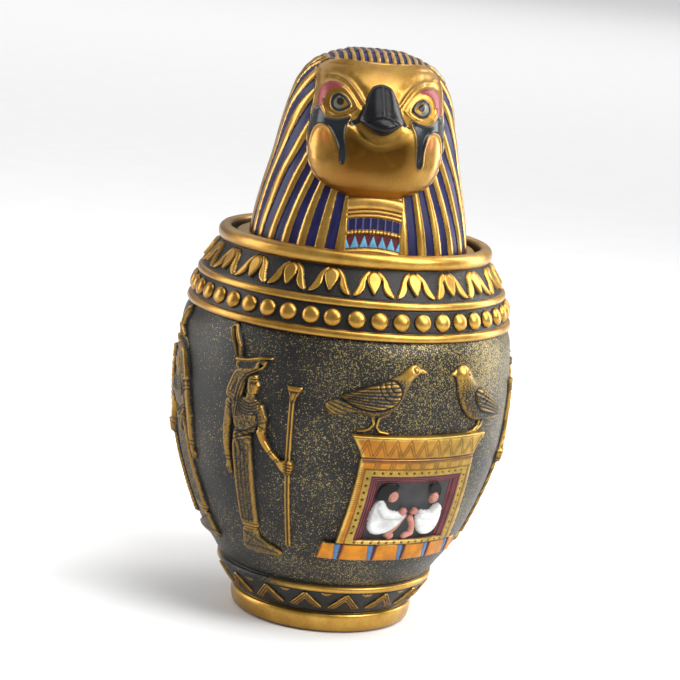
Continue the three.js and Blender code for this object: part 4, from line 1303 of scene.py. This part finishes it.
def ringed_grid(outline, middle_height, rings, around):
    """Rings of (x, z) growing out to a closed outline, their share of the way, and the outermost ring."""
    closed = np.concatenate([outline, outline[:1]])
    run = np.concatenate([[0], np.cumsum(np.hypot(*np.diff(closed, axis=0).T))])
    at = np.linspace(0, run[-1], around, endpoint=False)
    ox, oz = np.interp(at, run, closed[:, 0]), np.interp(at, run, closed[:, 1])
    share = np.sin(np.linspace(0, np.pi / 2, rings + 1))[1:, None]
    return share * ox, middle_height + share * (oz - middle_height), share, ox, oz


def backed_dome(name, points, behind, centre, readings, material):
    """A front of rings, an outer row behind it and a centre behind all; readings are (field, value behind)."""
    rings, around = points.shape[:2]
    rows = np.concatenate([points, behind[None]])
    flat = np.concatenate([rows.reshape(-1, 3), [points[0].mean(0), centre]])
    fans = closing_fans(around, rings * around, (rings + 1) * around)
    full = {key: np.append(field.ravel(), np.full(around + 2, rest)) for key, (field, rest) in readings.items()}
    return make_piece(name, flat, grid_quads(rings + 1, around, True), fans, full, material)


BROW_LINE = [(8.4, 218.6), (9.9, 220.8), (11.6, 223.2), (13.4, 225.4), (15.6, 227.2), (18.6, 228.5),
             (22.0, 228.3), (24.6, 226.4)]
BROW_TOP_LINE = [(6.9, 222.0), (8.2, 224.6), (9.9, 226.6), (11.7, 228.5), (14.2, 230.0), (17.5, 230.8),
                 (21.0, 230.6), (24.2, 229.0)]
SOCKET_LINE = [(23.0, 219.2), (22.8, 217.2), (21.6, 214.9), (19.0, 213.6), (16.0, 213.8), (13.2, 214.9),
               (11.0, 216.6), (8.4, 218.6)]


def falcon_face():
    """The gilt face, full below and sloping back to the forehead, with its painted markings."""
    x, z, share, ox, oz = ringed_grid(face_outline(), 207.0, rings=120, around=400)
    edge_y = cloth_front(ox, oz)
    y = np.where(share > 0.9995, edge_y, face_surface(x, z))
    X = np.abs(x)
    along = np.sqrt(np.diff(x, axis=0) ** 2 + np.diff(y, axis=0) ** 2 + np.diff(z, axis=0) ** 2)
    inward = np.concatenate([np.cumsum(along[::-1], axis=0)[::-1], np.zeros((1, len(ox)))])
    clay = Clay(X, z, [])
    eye = clay.shape(EYE_LINE, 2)
    rose = clay.shape(ROSE_PATCH, 2)
    cheek = clay.shape(CHEEK, 2)
    drift = 1.3 * smoothstep(211, 198, z) * smoothstep(24, 19.5, X)
    mark = outline_distance(np.abs(x - drift), z, rounded(BLACK_MARK, 1))
    pupil = np.hypot(X - 16.6, z - 219.6) - 1.45
    brow, brow_top, socket = (clay.chain(line, 0.0) for line in (BROW_LINE, BROW_TOP_LINE, SOCKET_LINE))
    h = np.zeros_like(x)
    outer = smoothstep(26.0, 18.5, X)
    h += (0.70 * soft(brow, 1.05) + 0.60 * soft(brow_top, 1.5)) * (0.25 + 0.75 * outer)
    h -= 0.30 * soft(brow - 1.6, 0.6) * smoothstep(4.2, 2.4, brow_top) * outer
    h += 0.85 * soft(brow_top, 4.6) * smoothstep(216, 226, z)
    h -= 0.35 * soft(socket, 0.35)
    h += 0.55 * smoothstep(2.6, 0.4, eye) * smoothstep(0.0, 0.25, eye)
    h -= 0.25 * smoothstep(0.2, -0.4, eye)
    h += 0.55 * smoothstep(-0.7, -2.6, eye)
    h += 0.55 * smoothstep(1.2, -4.4, cheek)
    h -= 0.16 * soft(cheek - 0.2, 0.5) * smoothstep(1.2, 2.6, inward) * (z > 199)
    h += 0.40 * smoothstep(0.15, -0.9, mark) - 0.35 * soft(mark - 0.2, 0.35) * (inward > 1.2)
    bill = outline_distance(X, z, beak_outline())
    below_beak_top = smoothstep(219, 212, z)
    h += (0.8 * smoothstep(5.6, 0.2, bill) + 0.30 * soft(bill - 2.4, 1.2)) * below_beak_top
    h += 0.5 * smoothstep(3.2, 0.2, np.hypot(X - 11.4, z - 212.6))
    lip = smoothstep(184, 190, z) * smoothstep(234.5, 231.5, z)
    h += 0.50 * soft(inward - 0.55, 0.45) * lip
    h -= 0.60 * soft(inward - 1.45, 0.38) * lip
    points = displaced(np.stack([x + face_lean(y), y, z], -1), h)
    # painted edges, positive inside: lids, pupil, cheek mark, mouth corner and the line round the face
    lid_line = 0.85 + 0.35 * smoothstep(218.5, 221.5, z) + 0.45 * smoothstep(16.5, 19.5, X)
    black = np.maximum(-mark, np.minimum(lid_line + eye, 0.12 - eye))
    black = np.maximum(black, -pupil)
    corner = clay.chain([(8.4, 213.6), (10.2, 212.7), (11.9, 211.7)], [1.2, 0.95, 1.2])
    black = np.maximum(black, -corner - 0.8 * (x > 0) * smoothstep(9.5, 11, X))
    line = 0.26 - np.abs(inward - 1.45) - 0.5 * smoothstep(192, 187, z) - 0.5 * smoothstep(226, 229, z)
    black = np.maximum(black, line)
    white = np.minimum(np.minimum(-eye - lid_line, pupil - 0.1), X - 16.2)
    blush = soft(np.hypot((X - 21.6) / 2.2, (z - 205.2) / 3.4), 1.0) * (cheek < 0)
    blush += 0.22 * smoothstep(199, 188, z) * smoothstep(4, -10, x)
    # painted shade in the hollows and along the face's edge against the headcloth
    recess = np.clip(blur(h, 3) - h, 0, 1) * (1.2 - 0.8 * smoothstep(9, 5, bill) * (z < 213))
    recess = np.clip(np.maximum(recess, 0.35 * smoothstep(1.4, 0.2, inward)), 0, 1) * 0.9
    # painted shade under the beak and under the chin
    throat = smoothstep(2.6, 8.0, bill) * smoothstep(212, 204, z) * (0.12 + 0.88 * smoothstep(184, 199, z))
    under_chin = smoothstep(192, 183, z) * smoothstep(15, 3, np.abs(x + 10))
    throat_shade = np.clip(1.25 * throat * smoothstep(25, 6, np.abs(x + 2.0)) + 0.35 * under_chin, 0, 1)
    behind = np.stack([ox + face_lean(edge_y), edge_y + 4.0, oz], -1)
    readings = {"recess": (recess, 0.0), "blush": (blush, 0.0), "throat_shade": (throat_shade, 0.0)}
    for key, edge in (("black", black), ("rose", -rose), ("white", white)):
        readings[key] = (np.clip(edge, -2, 2), -2.0)
    return backed_dome("falcon_face", points, behind, [0, -16, 207.0], readings, FACE_FINISH)


BEAK_HALF = [(207.6, 0.0), (207.9, 2.4), (209.0, 4.4), (210.6, 6.2), (212.2, 8.4), (213.4, 9.7), (215.0, 9.2),
             (217.0, 8.2), (219.0, 7.3), (221.0, 6.5), (223.0, 5.6), (225.0, 4.7), (226.4, 3.6), (227.3, 2.0),
             (227.6, 0.0)]
BEAK_FRONT = [(207.2, -45.5), (208.4, -47.6), (209.8, -49.4), (211.4, -50.6), (213.0, -50.6), (215.0, -49.2),
              (218.0, -46.6), (221.0, -43.6), (224.0, -40.4), (226.6, -37.6), (228.0, -35.4)]


def falcon_beak():
    """A glossy hooked beak with a soft middle ridge and a mouth crease."""
    middle = 214.6
    x, z, share, ox, oz = ringed_grid(beak_outline(), middle, rings=60, around=220)
    half = at_height(BEAK_HALF, z)
    front = smooth_line(BEAK_FRONT, z)
    base = face_surface(x, z) + 0.4
    u = np.clip(np.abs(x) / np.maximum(half, 0.3), 0, 1)
    crown = np.clip(1 - u ** 2, 0, 1) ** 0.62
    edge_fall = smoothstep(1.0, 0.93, share)
    y = base + (front - base) * crown * (0.25 + 0.75 * edge_fall) * np.where(share > 0.999, 0, 1)
    crease_z = 215.3 - 0.045 * x ** 2
    crease = np.abs(z - crease_z) + 6 * smoothstep(6.2, 7.4, np.abs(x))
    y += 0.38 * soft(crease, 0.32)
    y -= 0.25 * smoothstep(1.6, 0.2, z - crease_z) * (z > crease_z) * crown
    y -= 0.30 * soft(np.abs(x), 0.9) * (z > crease_z + 0.4) * edge_fall
    out = np.clip(base - y, 0, 20)
    dip = 0.018 * out ** 2 * smoothstep(219, 211, z)
    points = np.stack([x + FACE_TURN, y, z - dip], -1)
    # painted shade in the mouth crease
    recess = np.clip(0.95 * soft(crease, 0.35), 0, 1)
    behind = np.stack([ox + FACE_TURN, face_surface(ox, oz) + 3.5, oz], -1)
    return backed_dome("falcon_beak", points, behind, [FACE_TURN, -36, middle], {"recess": (recess, 0.0)},
                       BEAK_FINISH)


TURQUOISE = (0.16, 0.47, 0.72)
COLLAR_GOLD = (0.66, 0.37, 0.08)
COLLAR_VIOLET = (0.10, 0.09, 0.30)
COLLAR_RED = (0.12, 0.02, 0.03)


def collar_panel():
    """The front panel between the lappets: neck bands, navy blocks, toothed edge and turquoise triangles."""
    step = 0.24
    x = np.arange(-11.2, 11.2 + step / 2, step)
    z = np.arange(159.4, 183.4 + step / 2, step)
    X, Z = np.meshgrid(x, z)
    paint = np.zeros(X.shape + (3,)) + np.array(COLLAR_GOLD)
    metal = np.full(X.shape, 0.95)
    recess = np.zeros(X.shape)
    h = np.full(X.shape, 0.4)
    bow = Z + 0.010 * X ** 2

    def band(centre, half, proud):
        """A half-round cord across the panel."""
        d = np.abs(bow - centre) / half
        return np.where(d < 1, proud * np.sqrt(np.clip(1 - d ** 2, 0, 1)), 0)

    h += band(180.4, 2.6, 1.5) + band(177.0, 0.6, 0.7) + band(175.4, 0.65, 0.8) + band(169.0, 0.7,
                                                                                       0.9) + band(161.4, 0.9,
                                                                                                   0.8)
    # painted shade in the gaps between the cords
    for centre in (177.8, 176.2, 174.6, 169.8, 168.1, 162.6):
        recess = np.maximum(recess, soft(bow - centre, 0.28) * 0.9)
    navy = (bow < 174.4) & (bow > 170.0)
    h = np.where(navy, 0.45, h)
    paint[navy] = NAVY
    metal[navy] = 0.0
    block = off_line(X, 3.0)
    split = navy & (block < 0.24)
    paint[split] = COLLAR_VIOLET
    h += 0.35 * soft(block, 0.22) * navy
    low = (bow < 168.0) & (bow > 162.9)
    paint[low] = COLLAR_RED
    metal[low] = 0.0
    h = np.where(low, 0.25, h)
    rise = (bow - 162.9) / 4.6
    tooth = low & (off_line(X + 1.85, 3.7) < 1.75 * (1 - rise)) & (rise < 1)
    paint[tooth] = TURQUOISE
    h = np.where(tooth, 0.75, h)
    recess = np.where(tooth, recess * 0.2, recess)
    # painted shade in the gaps between the teeth
    teeth = (np.abs(bow - 169.0) < 0.8) & (off_line(X, 1.5) < 0.195)
    recess = np.where(teeth, 0.8, recess)
    h = np.where(teeth, h - 0.3, h)
    y = cloth_front(X, Z)
    front = np.stack([X, y - h + 0.55, Z], -1)
    back = np.stack([X, y + 2.2, Z], -1)
    both = {"paint": np.concatenate([paint.reshape(-1, 3)] * 2), "metal": np.concatenate([metal.ravel()] * 2),
            "recess": np.concatenate([recess.ravel()] * 2)}
    faces = backed(grid_quads(*X.shape, False), X.size)
    return make_piece("collar_panel", np.concatenate([front.reshape(-1, 3), back.reshape(-1, 3)]), faces, [],
                      both,
                      PAINT_FINISH)


# the recess column puts painted shade where the seat meets the jar's rim and on its top under the headcloth
LID_SEAT = [  # radius, height, gilt, recess, from the plug's underside up
    (10, 148.3, 0, 0), (30, 148.3, 0, 0), (44.4, 148.3, 0, 0), (45.0, 148.7, 0, 0), (45.2, 149.4, 0, 0),
    (45.2, 153, 0, 0), (45.2, 156.2, 0, 0.6), (45.4, 156.6, 0, 0.6), (47.5, 156.6, 0.3, 0.2),
            (49.6, 156.6, 0.6, 0.2),
    (50.0, 157.0, 1, 0.6), (50.0, 158.6, 1, 0.3), (49.85, 159.3, 1, 0), (49.4, 159.75, 1, 0),
            (48.6, 159.85, 1, 0),
    (46, 159.8, 1, 0), (40, 159.8, 0.9, 0.3), (20, 159.8, 0.9, 0.3)]


def lid_seat():
    """The lid's round seat and the plug under it."""
    return turned("lid_seat", np.array(LID_SEAT, float), 240, (LID_SEAT[0][1], LID_SEAT[-1][1]), [0, 1])


# ---------------------------------------------------------------- make everything

BIRD_AZIMUTH = 23.0
GODDESSES = (  # name, azimuth, side, lean, plume set back, proudness of the cap, mesh step
    ("front_left_goddess", -39.5, 1, 0.0, 0.0, 1.0, 0.36),
    ("left_edge_goddess", -75.5, -1, 0.15, 9.5, 0.3, 0.40),
    ("right_edge_goddess", 89.5, -1, 0.0, 0.0, 0.3, 0.44),
    ("back_goddess", 122.5, 1, 0.0, 0.0, 1.0, 0.46),
)
SHRINE_SPAN, SHRINE_HEIGHTS = (-32.6, 32.6), (36.0, 93.6)
FRONT_SHRINE_AZIMUTH, BACK_SHRINE_AZIMUTH = 20.8, 202.5

jar_pieces = [
    jar_body(),
    ring_of("bead_ring", bead(), 45, 1.5, 0.22, 3),
    ring_of("lotus_ring", on_band("lotus", (-9.2, 9.2), (145.4, 156.6), lotus), 22, -0.9, 0.25, 7),
    ring_of("chevron_ring", on_band("chevron", (-9.4, 9.4), (9.8, 19.6), chevron), 16, 5.0, 0.3, 5),
    lay_relief("left_bird", BIRD_AZIMUTH, (-47.5, -2.5), (91, 123), 0.3, pigeon(LEFT_PIGEON), ["gilt"],
               JAR_FINISH),
    lay_relief("right_bird", BIRD_AZIMUTH, (4.5, 44.5), (90, 123), 0.3, pigeon(RIGHT_PIGEON), ["gilt"],
               JAR_FINISH,
               side=-1),
]
for label, azimuth, side, lean, back, cap, step in GODDESSES:
    span = (-20.0, 26.0) if side > 0 else (-30.0, 20.0)
    jar_pieces.append(lay_relief(label, azimuth, span, (33.5, 129.6), step,
                                 standing_goddess(lean, back, cap), ["gilt"], JAR_FINISH, side=side))
jar_pieces.append(lay_relief("front_shrine", FRONT_SHRINE_AZIMUTH, SHRINE_SPAN, SHRINE_HEIGHTS, 0.30,
                             shrine_front, ["paint", "metal"], PAINT_FINISH))
jar_pieces.append(lay_relief("back_shrine", BACK_SHRINE_AZIMUTH, SHRINE_SPAN, SHRINE_HEIGHTS, 0.6,
                             lambda clay: shrine_front(clay, True), ["gilt"], JAR_FINISH))
lid_pieces = [lid_seat(), headcloth(), falcon_face(), falcon_beak(), collar_panel()]

for pieces, node, finish in ((jar_pieces, "jar", "dark_resin"), (lid_pieces, "lid", "gold_paint")):
    for piece in pieces:
        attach(piece, "root")
        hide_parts(node)


# ---------------------------------------------------------------- floor, light, camera

LAMPS = (  # name, place and size in metres, power in watts
    ("key", (0.75, -0.65, 0.75), (0.5, 0.5), 9.0),
    ("left fill", (-0.95, 0.22, 0.36), (0.5, 0.8), 6.0),
    ("top", (0.1, -0.1, 1.1), (0.7, 0.5), 3.0),
    ("right rim", (0.85, 0.30, 0.50), (0.3, 1.1), 7.0),
    ("backdrop", (0.0, 5.0, 3.2), (9.0, 7.0), 130.0),
)
LIT_POINT = np.array([0, 0, 0.12])
SKY_STRENGTH = 0.32
WINDOW_STRENGTH, WINDOW_SPREAD, WINDOW_DIRECTION = 1.5, math.radians(35), (-0.35, 0.45, -0.95)
FLOOR_SIDE, FLOOR_DROP = 60.0, 0.0004

CAMERA_AZIMUTH, CAMERA_RISE, CAMERA_ROLL = math.radians(-9.4), 0.1866, 0.10018
CAMERA_AIM, CAMERA_DISTANCE = (0, 0, 0.11655), 0.9284
LENS, SENSOR, SHIFT_X = 116.4706, 36, -0.0083235


def add_light(name, kind, direction, place=(0, 0, 0)):
    """A light shining in a direction; returns its settings."""
    light = bpy.data.lights.new(name, kind)
    lamp = bpy.data.objects.new(name, light)
    lamp.location = place
    lamp.rotation_euler = Vector(direction).to_track_quat("-Z", "Y").to_euler()
    bpy.context.scene.collection.objects.link(lamp)
    return light


def studio():
    """A white floor and sky, a soft window and lamps round the jar."""
    scene = bpy.context.scene
    bpy.ops.mesh.primitive_plane_add(size=FLOOR_SIDE, location=(0, 0, -FLOOR_DROP))
    floor = bpy.context.object
    floor.name = "studio_floor"
    floor.data.materials.append(floor_finish())
    scene.world = bpy.data.worlds.new("white studio")
    scene.world.use_nodes = True
    sky = scene.world.node_tree.nodes["Background"].inputs
    sky["Color"].default_value = (1.0, 1.0, 1.0, 1.0)
    sky["Strength"].default_value = SKY_STRENGTH
    window = add_light("window", "SUN", WINDOW_DIRECTION)
    window.energy, window.angle = WINDOW_STRENGTH, WINDOW_SPREAD
    for name, place, size, power in LAMPS:
        down = (0, 0.01, -1)
        lamp = add_light(name, "AREA", down if name == "backdrop" else LIT_POINT - np.array(place), place)
        lamp.shape = "RECTANGLE"
        lamp.size, lamp.size_y = size
        lamp.energy = power


def camera():
    """The viewing angle: a little above, turned to the jar's left, and rolled."""
    turn, rise, roll = CAMERA_AZIMUTH, CAMERA_RISE, CAMERA_ROLL
    back = Vector((math.sin(turn) * math.cos(rise), -math.cos(turn) * math.cos(rise), math.sin(rise)))
    right = Vector((math.cos(turn), math.sin(turn), 0))
    up = back.cross(right)
    rolled_right = right * math.cos(roll) + up * math.sin(roll)
    rolled_up = up * math.cos(roll) - right * math.sin(roll)
    data = bpy.data.cameras.new("studio camera")
    data.sensor_width = SENSOR
    data.lens = LENS
    data.shift_x = SHIFT_X
    data.clip_start = 0.01
    made = bpy.data.objects.new("studio camera", data)
    placed = Matrix((rolled_right, rolled_up, back)).transposed().to_4x4()
    placed.translation = Vector(CAMERA_AIM) + back * CAMERA_DISTANCE
    made.matrix_world = placed
    bpy.context.scene.collection.objects.link(made)
    bpy.context.scene.camera = made


studio()
camera()
bpy.context.scene.view_settings.view_transform = "Standard"
